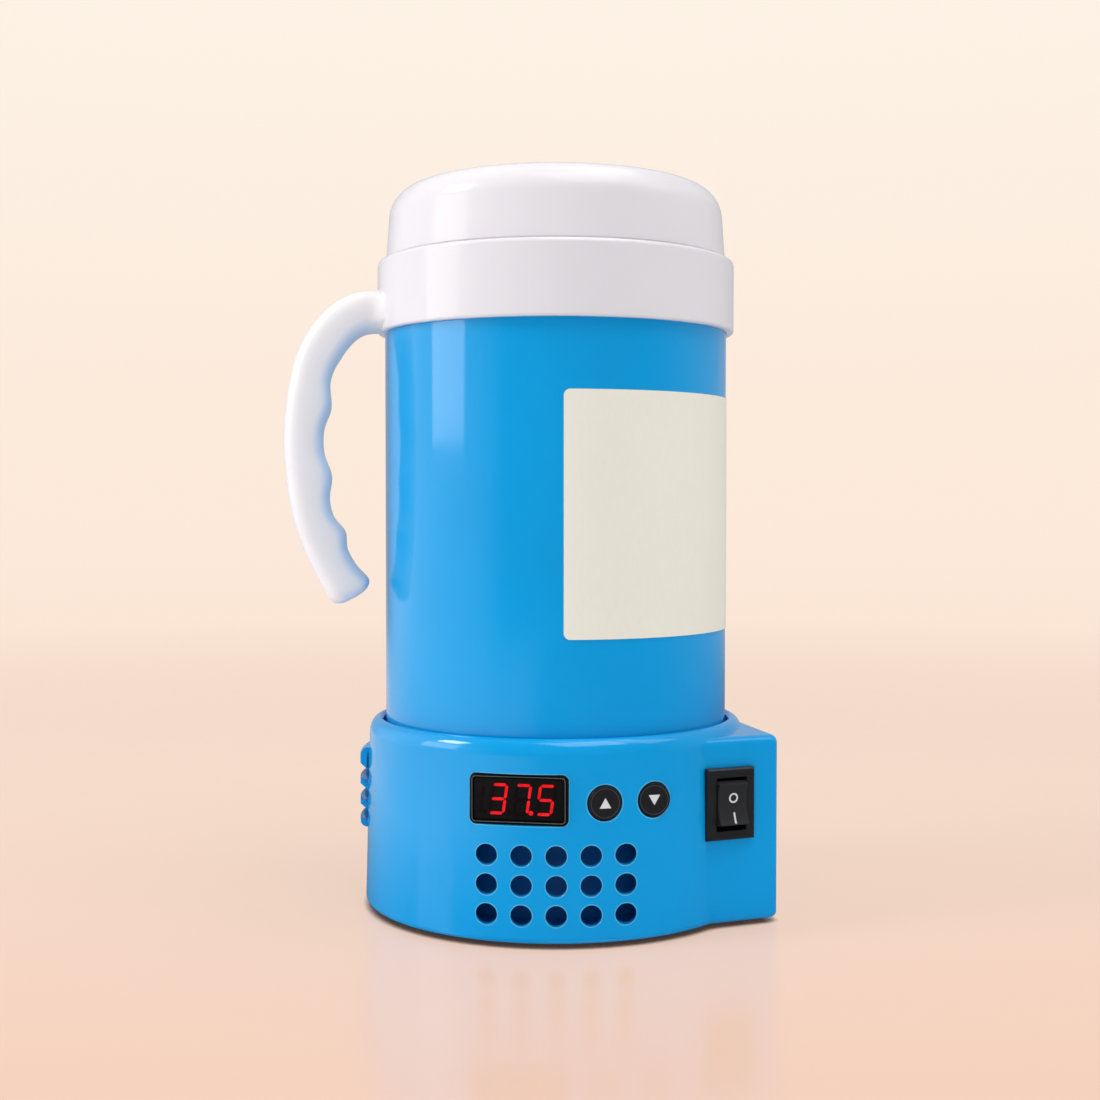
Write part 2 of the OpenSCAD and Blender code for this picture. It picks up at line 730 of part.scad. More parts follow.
module heating_plate() {
    color(ALU) difference() {
        rotate_extrude() polygon([
            [0, plate_z0], [plate_r + plate_flange, plate_z0], [plate_r + plate_flange, flange_z1],
            [plate_r, flange_z1], [plate_r, seat_z - 0.4], [plate_r - 0.4, seat_z], [0, seat_z]
        ]);
        translate([0, 0, plate_z0 - 1]) cylinder(r = probe_r + fix_gap, h = seat_z - plate_z0 + 2);
    }
}
module plate_seal() {
    color(WHITE) ring(plate_r + fix_gap, plate_r + plate_flange, flange_z1, floor_z);
}
module heater_ring() {
    h = heater_t / 2;
    c = min(1, heater_t / 4);
    color(STEEL) rotate_extrude() polygon([
        [heater_ri, heater_z0 + c], [heater_ri + c, heater_z0], [heater_ro - c, heater_z0], [heater_ro, heater_z0 + c],
        [heater_ro, heater_z0 + h], [heater_ro - c, plate_z0], [heater_ri + c, plate_z0], [heater_ri, heater_z0 + h]
    ]);
}
module heater_pad() {
    color([0.85, 0.83, 0.76]) ring(clamp_hole, plate_r + 1, pad_z0, heater_z0);
}
module heater_clamp() {
    color(STEEL) difference() {
        union() {
            translate([0, 0, clamp_z0]) cylinder(r = plate_r + 1, h = clamp_t);
            for (a = heat_post_az) at_az(a) {
                translate([0, -heat_post_ring, clamp_z0]) cylinder(r = heat_post_r + 1, h = clamp_t);
                translate([-heat_post_r - 1, -heat_post_ring, clamp_z0]) cube([2 * heat_post_r + 2, 14, clamp_t]);
            }
        }
        translate([0, 0, clamp_z0 - 1]) cylinder(r = clamp_hole, h = clamp_t + 2);
        at_heat_posts() translate([0, 0, clamp_z0 - 1]) cylinder(r = screw_r + screw_gap, h = clamp_t + 2);
    }
}
module clamp_screws() {
    color(STEEL) at_heat_posts() translate([0, 0, clamp_z0]) screw(clamp_t + 6);
}
module temperature_probe() {
    color(STEEL) {
        translate([0, 0, plate_z0 - probe_drop]) cylinder(r = probe_r, h = seat_z - 0.3 - plate_z0 + probe_drop);
        translate([0, 0, plate_z0 - 2]) cylinder(r = probe_flange_r, h = 2);
    }
}
module thermal_cutoff() {
    color([0.9, 0.9, 0.86]) translate([cutoff_x, 0, plate_z0 - probe_drop]) cylinder(r = cutoff_r, h = probe_drop);
}

module display_frame() {
    color(BLACK) translate([0, 0, display_z]) at_az(display_az) difference() {
        union() {
            outward(display_back_q, display_q - 0.4) round_rect(display_w, display_h, display_corner);
            outward(display_q - 0.4 - eps, display_q) round_rect(display_w - 0.8, display_h - 0.8, display_corner - 0.4);
            outward(display_lip_q - display_lip_t, display_lip_q)
                round_rect(display_w + 2 * display_lip, display_h + 2 * display_lip, display_corner);
        }
        outward(display_back_q - 1, display_q + 1)
            round_rect(display_w - 2 * display_border, display_h - 2 * display_border, 0.5);
    }
}
module display_module() {
    color([0.03, 0.02, 0.02]) translate([0, 0, display_z]) at_az(display_az) outward(display_back_q, display_face_q)
        round_rect(display_w - 2 * display_border - 2 * fix_gap, display_h - 2 * display_border - 2 * fix_gap, 0.4);
}
module display_board() {
    color(BOARD) translate([0, 0, display_z]) at_az(display_az) outward(display_back_q - board_t, display_back_q)
        square([display_w - 0.8, display_h + 2], center = true);
}
// Bars of a seven-segment digit, in the order a to g: [across, up, upright]
bars = [[0, 1, 0], [1, 0.5, 1], [1, -0.5, 1], [0, -1, 0], [-1, -0.5, 1], [-1, 0.5, 1], [0, 0, 0]];
function slanted(p) = [p[0] + p[1] * tan(digit_slant), p[1]];
module bar(k) {
    x = bars[k][0] * (digit_w - bar_w) / 2;
    y = bars[k][1] * (digit_h - bar_w) / 2;
    l = (bars[k][2] == 1 ? (digit_h - bar_w) / 2 : digit_w - bar_w) / 2 - 0.15;
    s = bar_w / 2;
    outline = [[-l, 0], [s - l, s], [l - s, s], [l, 0], [l - s, -s], [s - l, -s]];
    polygon([for (p = outline) slanted(bars[k][2] == 1 ? [x + p[1], y + p[0]] : [x + p[0], y + p[1]])]);
}
// Reading: the bars that are lit in each digit; the first is a half digit with two bars
lit_bars = [[], [0, 1, 2, 3, 6], [0, 1, 2], [0, 2, 3, 5, 6]];
function dark_bars(i) = [for (k = i == 0 ? [1, 2] : [0 : 6]) if (len(search(k, lit_bars[i])) == 0) k];
digit_shift = 0.9;
module on_display() {
    translate([0, 0, display_z]) at_az(display_az) outward(display_face_q, display_face_q + segment_t) children();
}
module at_digit(i) {
    translate([(i - 2) * digit_pitch + digit_shift, 0]) children();
}
module point_mark() {
    translate([digit_pitch / 2 - 0.2 - digit_h / 2 * tan(digit_slant), point_r - digit_h / 2]) circle(point_r);
}
module lit_segments() {
    color([1, 0.15, 0.08]) on_display() {
        for (i = [0 : 3]) at_digit(i) for (k = lit_bars[i]) bar(k);
        at_digit(2) point_mark();
    }
}
module dark_segments() {
    color([0.12, 0.05, 0.05]) on_display() {
        for (i = [0 : 3]) at_digit(i) for (k = dark_bars(i)) bar(k);
        for (i = [0, 1]) at_digit(i) point_mark();
    }
}

module button_cap(x) {
    translate([0, 0, button_z]) at_az(button_az) translate([x, 0, 0]) {
        translate([0, -button_lip_q + button_lip_t, 0]) rotate([90, 0, 0]) rotate_extrude() polygon(concat(
            [[0, 0], [button_d / 2 + button_lip, 0], [button_d / 2 + button_lip, button_lip_t], [button_d / 2, button_lip_t]],
            arc(button_d / 2 - 0.7, button_q(x) - button_lip_q + button_lip_t - 0.7, 0.7, 0, 70, 5),
            arc(0, button_q(x) - button_lip_q + button_lip_t - 60, 60, 85.6, 90, 3)
        ));
        outward(stem_end_q, button_lip_q - button_lip_t + eps) circle(stem_r);
    }
}
module button_up() {
    color(BLACK) button_cap(button_x);
}
module button_down() {
    color(BLACK) button_cap(button_far);
}
module tact_switches() {
    color(BLACK) translate([0, 0, button_z]) at_az(button_az) for (x = [button_x, button_far]) translate([x, 0, 0])
        difference() {
            outward(tact_q0, tact_q1) square(tact_w, center = true);
            outward(tact_q0 + 0.4, tact_q1 + 1) circle(stem_r + run_gap);
        }
}
module button_board() {
    color(BOARD) translate([0, 0, button_z]) at_az(button_az)
        translate([(button_board_x0 + button_board_x1) / 2, 0, 0]) outward(button_board_q0, tact_q0)
            square([button_board_x1 - button_board_x0, button_board_h], center = true);
}

module at_switch() {
    translate([0, 0, switch_z]) at_az(block_az) translate([switch_t, 0, 0]) children();
}
module switch_frame() {
    color(BLACK) at_switch() difference() {
        union() {
            bevel_plate(switch_w, switch_h, block_p, block_p + switch_lip, switch_bevel);
            outward(switch_back_p, block_p + eps) square([switch_body_w, switch_body_h], center = true);
        }
        outward(rocker_open_p, block_p + switch_lip + 1) square([rocker_open_w, rocker_open_h], center = true);
        translate([0, -rocker_pivot_p, 0]) rotate([0, 90, 0])
            cylinder(r = rocker_pin_r + run_gap, h = rocker_w + 2 * rocker_pin_in + 2 * run_gap, center = true);
    }
}
module switch_terminals() {
    color(BRASS) at_switch() for (z = [-1, 1]) translate([0, 0, z * switch_body_h / 4])
        outward(switch_back_p - 7, switch_back_p) square([4.8, 0.8], center = true);
}
module rocker() {
    hh = rocker_h / 2;
    dish_r = (pow(hh, 2) + pow(rocker_dish, 2)) / (2 * rocker_dish);
    dish_a = asin(hh / dish_r);
    color(BLACK) at_switch() translate([0, -rocker_pivot_p, 0]) rotate([-rocker_tilt, 0, 0]) {
        // Side outline: x towards the front, y up
        rotate([0, 0, -90]) rotate([90, 0, 0]) translate([0, 0, -rocker_w / 2]) linear_extrude(rocker_w) polygon(concat(
            [[-2.2, -2.2], [0, -2.9], [2, -hh + 1], [rocker_reach - rocker_flank, -hh - rocker_shift - 0.3 * rocker_flare]],
            arc(rocker_reach - rocker_dish + dish_r, -rocker_shift, dish_r, 180 + dish_a, 180 - dish_a, 10),
            [[rocker_reach - rocker_flank, hh - rocker_shift + rocker_flare], [2, hh - 1], [0, 2.9], [-2.2, 2.2]]
        ));
        rotate([0, 90, 0]) cylinder(r = rocker_pin_r, h = rocker_w + 2 * rocker_pin_in, center = true);
    }
}

module power_board() {
    color(BOARD) difference() {
        translate([board_x0, board_y0, board_z0]) cube([board_x1 - board_x0, board_y1 - board_y0, board_t]);
        at_board_posts() translate([0, 0, board_z0 - 1]) cylinder(r = 1 + screw_gap, h = board_t + 2);
    }
}
module board_screws() {
    color(STEEL) at_board_posts() translate([0, 0, board_z1]) mirror([0, 0, 1]) {
        translate([0, 0, -0.5]) cylinder(r = 1, h = board_t + 5.5);
        translate([0, 0, -1]) cylinder(r = 2, h = 1);
    }
}
module on_board(x, y) {
    translate([x, y, board_z1]) children();
}
module transformer() {
    color([0.75, 0.6, 0.25]) on_board(-22, 2) {
        translate([-13, -6, 0]) cube([26, 12, transformer_h]);
        translate([-10, -11, 2]) cube([20, 22, transformer_h - 4]);
        translate([-12, -11, 0]) cube([24, 22, 2 + eps]);
    }
}
module capacitors() {
    color([0.1, 0.12, 0.25]) for (x = [2, 16]) on_board(x, -9) cylinder(r = 5, h = 15);
}
module relay() {
    color([0.1, 0.25, 0.5]) on_board(-5.5, 3) cube([19, 15.5, 15.6]);
}
module terminal_block() {
    color([0.15, 0.45, 0.3]) on_board(16.5, -1) difference() {
        cube([8, 15, 10]);
        for (i = [0 : 2]) translate([4, 2.5 + 5 * i, 3]) cylinder(r = 1.6, h = 10);
    }
}

module inlet_section(w, h) {
    c = 4;
    polygon([[-w / 2, -h / 2], [w / 2, -h / 2], [w / 2, h / 2 - c], [w / 2 - c, h / 2], [c - w / 2, h / 2], [-w / 2, h / 2 - c]]);
}
module at_inlet() {
    translate([0, 0, inlet_z]) at_az(180) children();
}
module power_inlet() {
    color(BLACK) at_inlet() difference() {
        union() {
            outward(inlet_q, inlet_q + inlet_lip) round_rect(inlet_w, inlet_h, 2);
            outward(inlet_floor_q - inlet_back, inlet_q + eps) square([inlet_body_w, inlet_body_h], center = true);
        }
        outward(inlet_floor_q, inlet_q + inlet_lip + 1) inlet_section(inlet_recess_w, inlet_recess_h);
        for (p = inlet_pins_at) translate([p[0], 0, p[1]]) outward(inlet_floor_q - inlet_back - 1, inlet_floor_q + 1)
            square(inlet_pin + [2, 2] * screw_gap, center = true);
    }
}
module inlet_pins() {
    color(BRASS) at_inlet() for (p = inlet_pins_at) translate([p[0], 0, p[1]])
        outward(inlet_floor_q - inlet_back - inlet_tail_l, inlet_floor_q + inlet_pin_l) square(inlet_pin, center = true);
}

module cup_shell() {
    rr = 2;
    color(BLUE) difference() {
        rotate_extrude() polygon(concat(
            [[disc_r + fix_gap, shell_z0]],
            arc(cup_r - rr, shell_z0 + rr, rr, -90, 0, 6),
            [[cup_r, shelf_z0], [shell_ri, shelf_z0], [shell_ri, shell_z1], [disc_r + fix_gap, shell_z1]]
        ));
        at_handle_screws() cylinder(r = screw_r + screw_gap, h = 40, center = true);
    }
}
module contact_disc() {
    color(ALU) rotate_extrude() polygon([
        [0, seat_z], [disc_r - 0.4, seat_z], [disc_r, seat_z + 0.4], [disc_r, shell_z1],
        [disc_r + plate_flange, shell_z1], [disc_r + plate_flange, liner_z0], [0, liner_z0]
    ]);
}
module cup_liner() {
    ro = liner_corner;
    ri = liner_corner - liner_wall;
    z1 = liner_z0 + liner_wall;
    color(STEEL) rotate_extrude() polygon(concat(
        [[0, liner_z0]],
        arc(liner_r - ro, liner_z0 + ro, ro, -90, 0, 8),
        [[liner_r, liner_rim_z0], [rim_r, liner_rim_z0], [rim_r, liner_rim_z1], [liner_r - liner_wall, liner_rim_z1]],
        arc(liner_r - ro, liner_z0 + ro, ri, 0, -90, 8),
        [[0, z1]]
    ));
}
module foam_sleeve() {
    color([0.93, 0.9, 0.8]) ring(liner_r + fix_gap, shell_ri - fix_gap, liner_z0 + liner_corner, collar_z0);
}
module collar() {
    c = collar_round;
    color(WHITE) difference() {
        rotate_extrude() polygon(concat(
            [[cup_r + fix_gap, collar_z0]],
            arc(collar_r - 0.8, collar_z0 + 0.8, 0.8, -90, 0, 4),
            arc(collar_r - c, collar_z1 - c, c, 0, 90, 6),
            [[bore_r + 0.5, collar_z1], [bore_r, collar_z1 - 0.5], [bore_r, shelf_z1], [liner_r + 0.6, shelf_z1],
             [liner_r + 0.6, shelf_z0], [cup_r + fix_gap, shelf_z0]]
        ));
        at_handle_screws() cylinder(r = screw_r + screw_gap, h = 40, center = true);
    }
}
module rim_seal() {
    color([0.85, 0.86, 0.88]) ring(liner_r + 0.6, rim_r, shelf_z1, liner_rim_z0);
}
// Handle screws point outward from inside the shell, heads against the shell
module at_handle_screws() {
    at_az(handle_az) for (x = [-1, 1]) translate([x * handle_screw_pitch / 2, 0, handle_z]) rotate([90, 0, 0])
        translate([0, 0, handle_seat_q]) children();
}
module handle_screws() {
    color(STEEL) at_handle_screws() screw(handle_screw_l);
}
// Grip section at the place u: half width, outer and inner half thickness
handle_n = len(handle_path) - 1;
function path_length(p, i = 0) = i > len(p) - 2 ? 0 : norm(p[i + 1] - p[i]) + path_length(p, i + 1);
finger_turn = 360 * path_length(handle_path) / handle_n / finger_pitch;
function handle_end(u) = let (t = (u - handle_n) / handle_tip + 1) t <= 0 ? 1 : pow(max(1 - pow(t, 2.4), 0.004), 1 / 2.4);
function handle_flare(u) = pow(max(1 - u / 0.65, 0), 1.4);
function handle_width(u) = (grip_w + (root_w - grip_w) * handle_flare(u)) / 2 * handle_end(u);
function finger(u) = let (a = finger_turn * (u - handle_first))
    finger_depth * min(max(u - 2.5, 0), 1) * (cos(a) + 0.2 * cos(2 * a));
function handle_ring(u) = let (
    p = along(handle_path, u),
    t = unit(along(handle_path, u + 0.02) - along(handle_path, u - 0.02)),
    nrm = [-t[1], t[0]],
    w = handle_width(u),
    e = handle_end(u)
) [
    for (k = [0 : handle_sides - 1]) let (
        a = 360 * (k + 0.5) / handle_sides,
        outer = sin(a) > 0,
        x = w * power(cos(a), outer ? 2 / grip_square : 1),
        h = outer ? grip_t / 2 * power(sin(a), 2 / grip_square)
            : grip_fold * sin(a) - (grip_t / 2 - grip_fold + finger(u)),
        q = p + nrm * h * e
    ) [x, -(collar_r + q[0]), handle_z + q[1]]
];
module handle_sweep() {
    m = handle_sides;
    body_u = handle_n - handle_tip;
    body_n = handle_n * handle_steps;
    places = concat(
        [for (i = [0 : body_n]) max(body_u * i / body_n, 0.02)],
        [for (i = [1 : handle_tip_rings]) body_u + (handle_tip - 0.021) * sin(90 * i / handle_tip_rings)]
    );
    n = len(places) - 1;
    points = [for (u = places) each handle_ring(u)];
    faces = concat(
        [[for (k = [m - 1 : -1 : 0]) k]],
        [for (i = [0 : n - 1]) for (k = [0 : m - 1]) [i * m + k, i * m + (k + 1) % m, (i + 1) * m + (k + 1) % m]],
        [for (i = [0 : n - 1]) for (k = [0 : m - 1]) [i * m + k, (i + 1) * m + (k + 1) % m, (i + 1) * m + k]],
        [[for (k = [0 : m - 1]) n * m + k]]
    );
    polyhedron(points, faces, convexity = 4);
}
module handle() {
    color(WHITE) difference() {
        at_az(handle_az) handle_sweep();
        translate([0, 0, collar_z0 - 5]) cylinder(r = collar_r + 0.05, h = collar_h + 10);
        at_handle_screws() cylinder(r = screw_r + screw_gap, h = handle_screw_l + 1);
    }
}
module label_panel() {
    z0 = seat_z + label_rise;
    r = cup_r + 0.02;
    over = 0.04;
    corner = asin((label_corner - over) / cup_r);
    color([0.96, 0.95, 0.9]) difference() {
        sweep_az(label_az, label_arc) section_box(r, r + label_t, z0, z0 + label_h);
        for (s = [-1, 1]) for (k = [-1, 1])
            at_az(label_az + label_arc / 2 + s * (label_arc / 2 - corner))
                translate([0, 0, z0 + label_h / 2 + k * (label_h / 2 - label_corner + over)]) outward(cup_r - 2, cup_r + 2) difference() {
                    translate([s * label_corner, k * label_corner]) square(2 * label_corner, center = true);
                    circle(label_corner);
                }
    }
}

function lid_skin(d) = concat(
    arc(lid_cx, lid_cz, lid_shoulder_r - d, 0, lid_join, 10),
    [for (i = [1 : 10]) let (a = lid_join + (90 - lid_join) * i / 10)
        [(lid_crown_r - d) * cos(a), lid_z1 - lid_crown_r + (lid_crown_r - d) * sin(a)]]
);
function reversed(v) = [for (i = [len(v) - 1 : -1 : 0]) v[i]];
module lid_dome() {
    seat_r = plug_r + fix_gap;
    color(WHITE) rotate_extrude() polygon(concat(
        [[seat_r, lid_z0], [lid_r - 0.4, lid_z0], [lid_r, lid_z0 + 0.4]],
        lid_skin(0),
        reversed(lid_skin(lid_wall)),
        [[plug_r - plug_wall / 2, lid_seat_z], [seat_r, lid_seat_z]]
    ));
}
module lid_plug() {
    color(WHITE) rotate_extrude() polygon([
        [0, plug_z0], [plug_r - 0.6, plug_z0], [plug_r, plug_z0 + 0.6], [plug_r, lid_seat_z],
        [plug_r - plug_wall, lid_seat_z], [plug_r - plug_wall, plug_z0 + plug_wall], [0, plug_z0 + plug_wall]
    ]);
}
module lid_gasket() {
    color([0.85, 0.86, 0.88]) ring(liner_r - liner_wall, rim_r - 0.3, liner_rim_z1, plug_z0);
}

base_housing();
bottom_cover();
foot_ring();
cover_screws();
side_louvre();
heating_plate();
plate_seal();
heater_ring();
heater_pad();
heater_clamp();
clamp_screws();
temperature_probe();
thermal_cutoff();
display_frame();
display_module();
lit_segments();
dark_segments();
display_board();
button_board();
tact_switches();
button_up();
button_down();
switch_frame();
switch_terminals();
rocker();
power_board();
board_screws();
transformer();
capacitors();
relay();
terminal_block();
power_inlet();
inlet_pins();
cup_shell();
contact_disc();
cup_liner();
foam_sleeve();
collar();
rim_seal();
handle();
handle_screws();
label_panel();
lid_dome();
lid_plug();
lid_gasket();
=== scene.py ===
"""Electric heating cup: finishes, printed marks, painted edge highlights and a small studio.

Metres, +Z up, origin on the table at the cup's axis, display side facing -Y.
"""

import logging
import math
from abc import ABC, abstractmethod
from dataclasses import dataclass
from enum import Enum
from typing import ClassVar, Iterable

import bmesh
import bpy
from bmesh.types import BMEdge, BMesh, BMVert
from bpy.types import Material, Node, NodeSocket as Socket, NodeTree, Object
from mathutils import Matrix, Vector
from mathutils.bvhtree import BVHTree


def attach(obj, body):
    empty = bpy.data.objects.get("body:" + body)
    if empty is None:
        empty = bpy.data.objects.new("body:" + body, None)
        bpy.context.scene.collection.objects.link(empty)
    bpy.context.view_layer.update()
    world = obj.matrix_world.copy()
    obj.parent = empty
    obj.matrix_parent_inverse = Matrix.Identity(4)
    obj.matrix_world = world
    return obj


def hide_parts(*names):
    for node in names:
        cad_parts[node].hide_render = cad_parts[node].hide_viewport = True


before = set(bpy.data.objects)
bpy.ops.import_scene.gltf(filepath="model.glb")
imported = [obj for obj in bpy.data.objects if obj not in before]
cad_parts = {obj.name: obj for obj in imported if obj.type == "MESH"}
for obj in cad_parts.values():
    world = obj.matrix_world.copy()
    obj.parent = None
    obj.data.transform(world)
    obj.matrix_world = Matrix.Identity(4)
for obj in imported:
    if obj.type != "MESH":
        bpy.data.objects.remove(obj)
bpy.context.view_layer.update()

LOG = logging.getLogger("heating_cup")
MM = 0.001
WELD = 0.004 * MM
FINE_WELD = WELD / 4
SOFT_ANGLE = math.radians(28)
SHARP_ANGLE = math.radians(40)
MOST_OF_NOISE = (0.3, 0.7)
WHOLE_RANGE = (0.0, 1.0)
EDGE_SAMPLES = 4
RING_STEPS = 64
FRAME_CORNER_STEPS = 8
FRAME_CUTS = 24
MARK_CORNER_STEPS = 3

Pair = tuple[float, float]
Triple = tuple[float, float, float]
Colour = Triple
Tone = Colour | Socket
Value = float | Socket
Inputs = dict[str | int, Tone | Value]
MADE: dict[str, Material] = {}


class Body(str, Enum):
    """Moving groups of the part that carry added pieces."""

    BASE = "base"
    UP_KEY = "up_key"
    DOWN_KEY = "down_key"
    ROCKER = "switch_rocker"
    CUP = "cup"


class Nodes:
    """Adds nodes to one tree and links them."""

    def __init__(self, tree: NodeTree) -> None:
        """Starts on a tree.

        Args:
            tree: Node tree that takes the nodes.
        """
        self.tree = tree

    def feed(self, value: Tone | Value, target: Socket) -> None:
        """Links an output to an input, or gives the input a plain value.

        Args:
            value: Output, number, vector or colour.
            target: The input.
        """
        if isinstance(value, Socket):
            self.tree.links.new(value, target)
        else:
            target.default_value = (*value, 1) if target.type == "RGBA" else value

    def add(self, kind: str, inputs: Inputs | None = None, **settings: object) -> Node:
        """Adds one node.

        Args:
            kind: Type of the node.
            inputs: What is fed to the node, by the name or number of the input.
            settings: Properties of the node.

        Returns:
            The new node.
        """
        node = self.tree.nodes.new(kind)
        for key, value in settings.items():
            setattr(node, key, value)
        for key, value in (inputs or {}).items():
            self.feed(value, node.inputs[key])
        return node

    def calculate(self, operation: str, first: Value, second: Value) -> Socket:
        """Combines two numbers.

        Args:
            operation: How they are combined.
            first: First number, plain or linked.
            second: Second number, plain or linked.

        Returns:
            The result.
        """
        return self.add("ShaderNodeMath", {0: first, 1: second}, operation=operation).outputs["Value"]

    def span(
        self, value: Socket, low: float, high: float, inside: Pair = MOST_OF_NOISE, smooth: bool = False,
    ) -> Socket:
        """Maps a value to a range.

        Args:
            value: Value or pattern.
            low: Result at the first end.
            high: Result at the second end.
            inside: Ends of the value's own range.
            smooth: Whether the ends are eased.

        Returns:
            The mapped value.
        """
        ends = zip(("From Min", "From Max", "To Min", "To Max"), (*inside, low, high))
        way = "SMOOTHSTEP" if smooth else "LINEAR"
        node = self.add("ShaderNodeMapRange", {"Value": value, **dict(ends)}, interpolation_type=way)
        return node.outputs["Result"]

    def tones(self, value: Socket, first: Tone, second: Tone) -> Socket:
        """Mixes two colours by a pattern.

        Args:
            value: Pattern between 0 and 1.
            first: Colour, or pattern of colour, at 0.
            second: Colour, or pattern of colour, at 1.

        Returns:
            The mixed colour.
        """
        node = self.add("ShaderNodeMix", {"Factor": value}, data_type="RGBA")
        for tone, target in zip((first, second), [s for s in node.inputs if s.type == "RGBA"]):
            self.feed(tone, target)
        return next(s for s in node.outputs if s.type == "RGBA")

    def layer(self, share: Value, under: Socket, over: Socket) -> Socket:
        """Lays one shader over another.

        Args:
            share: Share of the upper shader.
            under: The lower shader.
            over: The upper shader.

        Returns:
            The layered shader.
        """
        return self.add("ShaderNodeMixShader", {0: share, 1: under, 2: over}).outputs["Shader"]

    def seen_rays(self) -> Socket:
        """Tells the rays that show a backdrop from those that only light the object.

        Returns:
            1 for camera, glossy and transmission rays, and 0 for the rest.
        """
        rays = self.add("ShaderNodeLightPath").outputs
        seen = rays["Is Camera Ray"]
        for ray in ("Is Glossy Ray", "Is Transmission Ray"):
            seen = self.calculate("MAXIMUM", seen, rays[ray])
        return seen


class Graph(Nodes):
    """Nodes of one material, round its Principled shader."""

    def __init__(self, name: str) -> None:
        """Starts a material.

        Args:
            name: Name of the material.
        """
        self.material = bpy.data.materials.new(name)
        self.material.use_nodes = True
        super().__init__(self.material.node_tree)
        self.shader = self.tree.nodes["Principled BSDF"]
        self.coords = self.add("ShaderNodeTexCoord").outputs["Object"]

    def mapped(self, scale: Triple) -> Socket:
        """Stretches the object's coordinates.

        Args:
            scale: Factor along each axis.

        Returns:
            The stretched coordinates.
        """
        return self.add("ShaderNodeMapping", {"Vector": self.coords, "Scale": scale}).outputs["Vector"]

    def noise(self, scale: float, detail: float = 2.0, vector: Socket | None = None) -> Socket:
        """Adds a noise pattern.

        Args:
            scale: Cells per metre.
            detail: Octaves of the noise.
            vector: Coordinates, or the object's own.

        Returns:
            The noise value.
        """
        inputs = {"Vector": vector or self.coords, "Scale": scale, "Detail": detail}
        return self.add("ShaderNodeTexNoise", inputs).outputs["Fac"]

    def relief(self, height: Socket, depth: float, strength: float, edge: float = 0.0) -> None:
        """Gives the shader a bump and soft edges.

        Args:
            height: Pattern of the relief.
            depth: Height of the relief in metres.
            strength: Share of the relief that shows.
            edge: Radius that sharp edges are shaded with, in metres.
        """
        inputs = {"Height": height, "Distance": depth, "Strength": strength}
        if edge:
            soft = self.add("ShaderNodeBevel", {"Radius": edge}, samples=EDGE_SAMPLES)
            inputs["Normal"] = soft.outputs["Normal"]
        self.set(Normal=self.add("ShaderNodeBump", inputs).outputs["Normal"])

    def set(self, **values: Tone | Value) -> None:
        """Feeds the shader's sockets.

        Args:
            values: Output, number or colour for each socket, with _ for a space in its name.
        """
        for key, value in values.items():
            self.feed(value, self.shader.inputs[key.replace("_", " ")])


def shaded(colour: Colour, factor: float) -> Colour:
    """Returns a colour made darker or lighter by a factor."""
    return tuple(min(channel * factor, 1.0) for channel in colour)


@dataclass(frozen=True)
class Finish(ABC):
    """What a piece is made of: ranges are low and high values, patterns are cells per metre and octaves."""

    name: str
    colour: Colour

    @abstractmethod
    def paint(self, g: Graph) -> None:
        """Feeds the shader.

        Args:
            g: Nodes of the finish's material.
        """

    def build(self) -> Material:
        """Makes the material.

        Returns:
            The painted material.
        """
        g = Graph(self.name)
        self.paint(g)
        return g.material


@dataclass(frozen=True)
class Plastic(Finish):
    """Moulded plastic with a faint drift of tone and an orange-peel skin."""

    gloss: Pair = (0.2, 0.27)
    specular: float = 0.5
    drift: float = 0.03
    grain: float = 420.0
    depth: float = 0.012 * MM
    strength: float = 0.18
    edge: float = 0.3 * MM
    cloud: Pair = (24, 3)
    smear: Pair = (75, 4)

    def paint(self, g: Graph) -> None:
        """Feeds the shader.

        Args:
            g: Nodes of the finish's material.
        """
        dark, light = shaded(self.colour, 1 - self.drift), shaded(self.colour, 1 + self.drift)
        g.set(
            Base_Color=g.tones(g.span(g.noise(*self.cloud), 0, 1), dark, light),
            Roughness=g.span(g.noise(*self.smear), *self.gloss),
            Specular_IOR_Level=self.specular,
        )
        g.relief(g.noise(self.grain), self.depth, self.strength, self.edge)


@dataclass(frozen=True)
class Metal(Finish):
    """Bare metal with drawn or turned marks."""

    gloss: Pair = (0.28, 0.38)
    stretch: Triple = (6.0, 6.0, 1800.0)
    marks: Pair = (1, 4)
    shade: float = 0.9
    depth: float = 0.008 * MM
    strength: float = 0.25

    def paint(self, g: Graph) -> None:
        """Feeds the shader.

        Args:
            g: Nodes of the finish's material.
        """
        marks = g.noise(*self.marks, g.mapped(self.stretch))
        g.set(
            Base_Color=g.tones(g.span(marks, 0, 1), shaded(self.colour, self.shade), self.colour),
            Roughness=g.span(marks, *self.gloss),
            Metallic=1.0,
        )
        g.relief(marks, self.depth, self.strength)


@dataclass(frozen=True)
class TurnedMetal(Finish):
    """Faced metal with fine rings round the cup's axis."""

    rings: float = 620.0
    waver: float = 0.6
    detail: float = 2.0
    gloss: Pair = (0.28, 0.36)
    patina: Pair = (46, 4)
    shade: float = 0.88
    depth: float = 0.012 * MM
    strength: float = 0.3

    def paint(self, g: Graph) -> None:
        """Feeds the shader.

        Args:
            g: Nodes of the finish's material.
        """
        inputs = {"Vector": g.coords, "Scale": self.rings, "Distortion": self.waver, "Detail": self.detail}
        rings = g.add("ShaderNodeTexWave", inputs, wave_type="RINGS", rings_direction="Z").outputs["Fac"]
        patina = g.span(g.noise(*self.patina), 0, 1)
        g.set(
            Base_Color=g.tones(patina, shaded(self.colour, self.shade), self.colour),
            Roughness=g.span(rings, *self.gloss, WHOLE_RANGE),
            Metallic=1.0,
        )
        g.relief(rings, self.depth, self.strength)


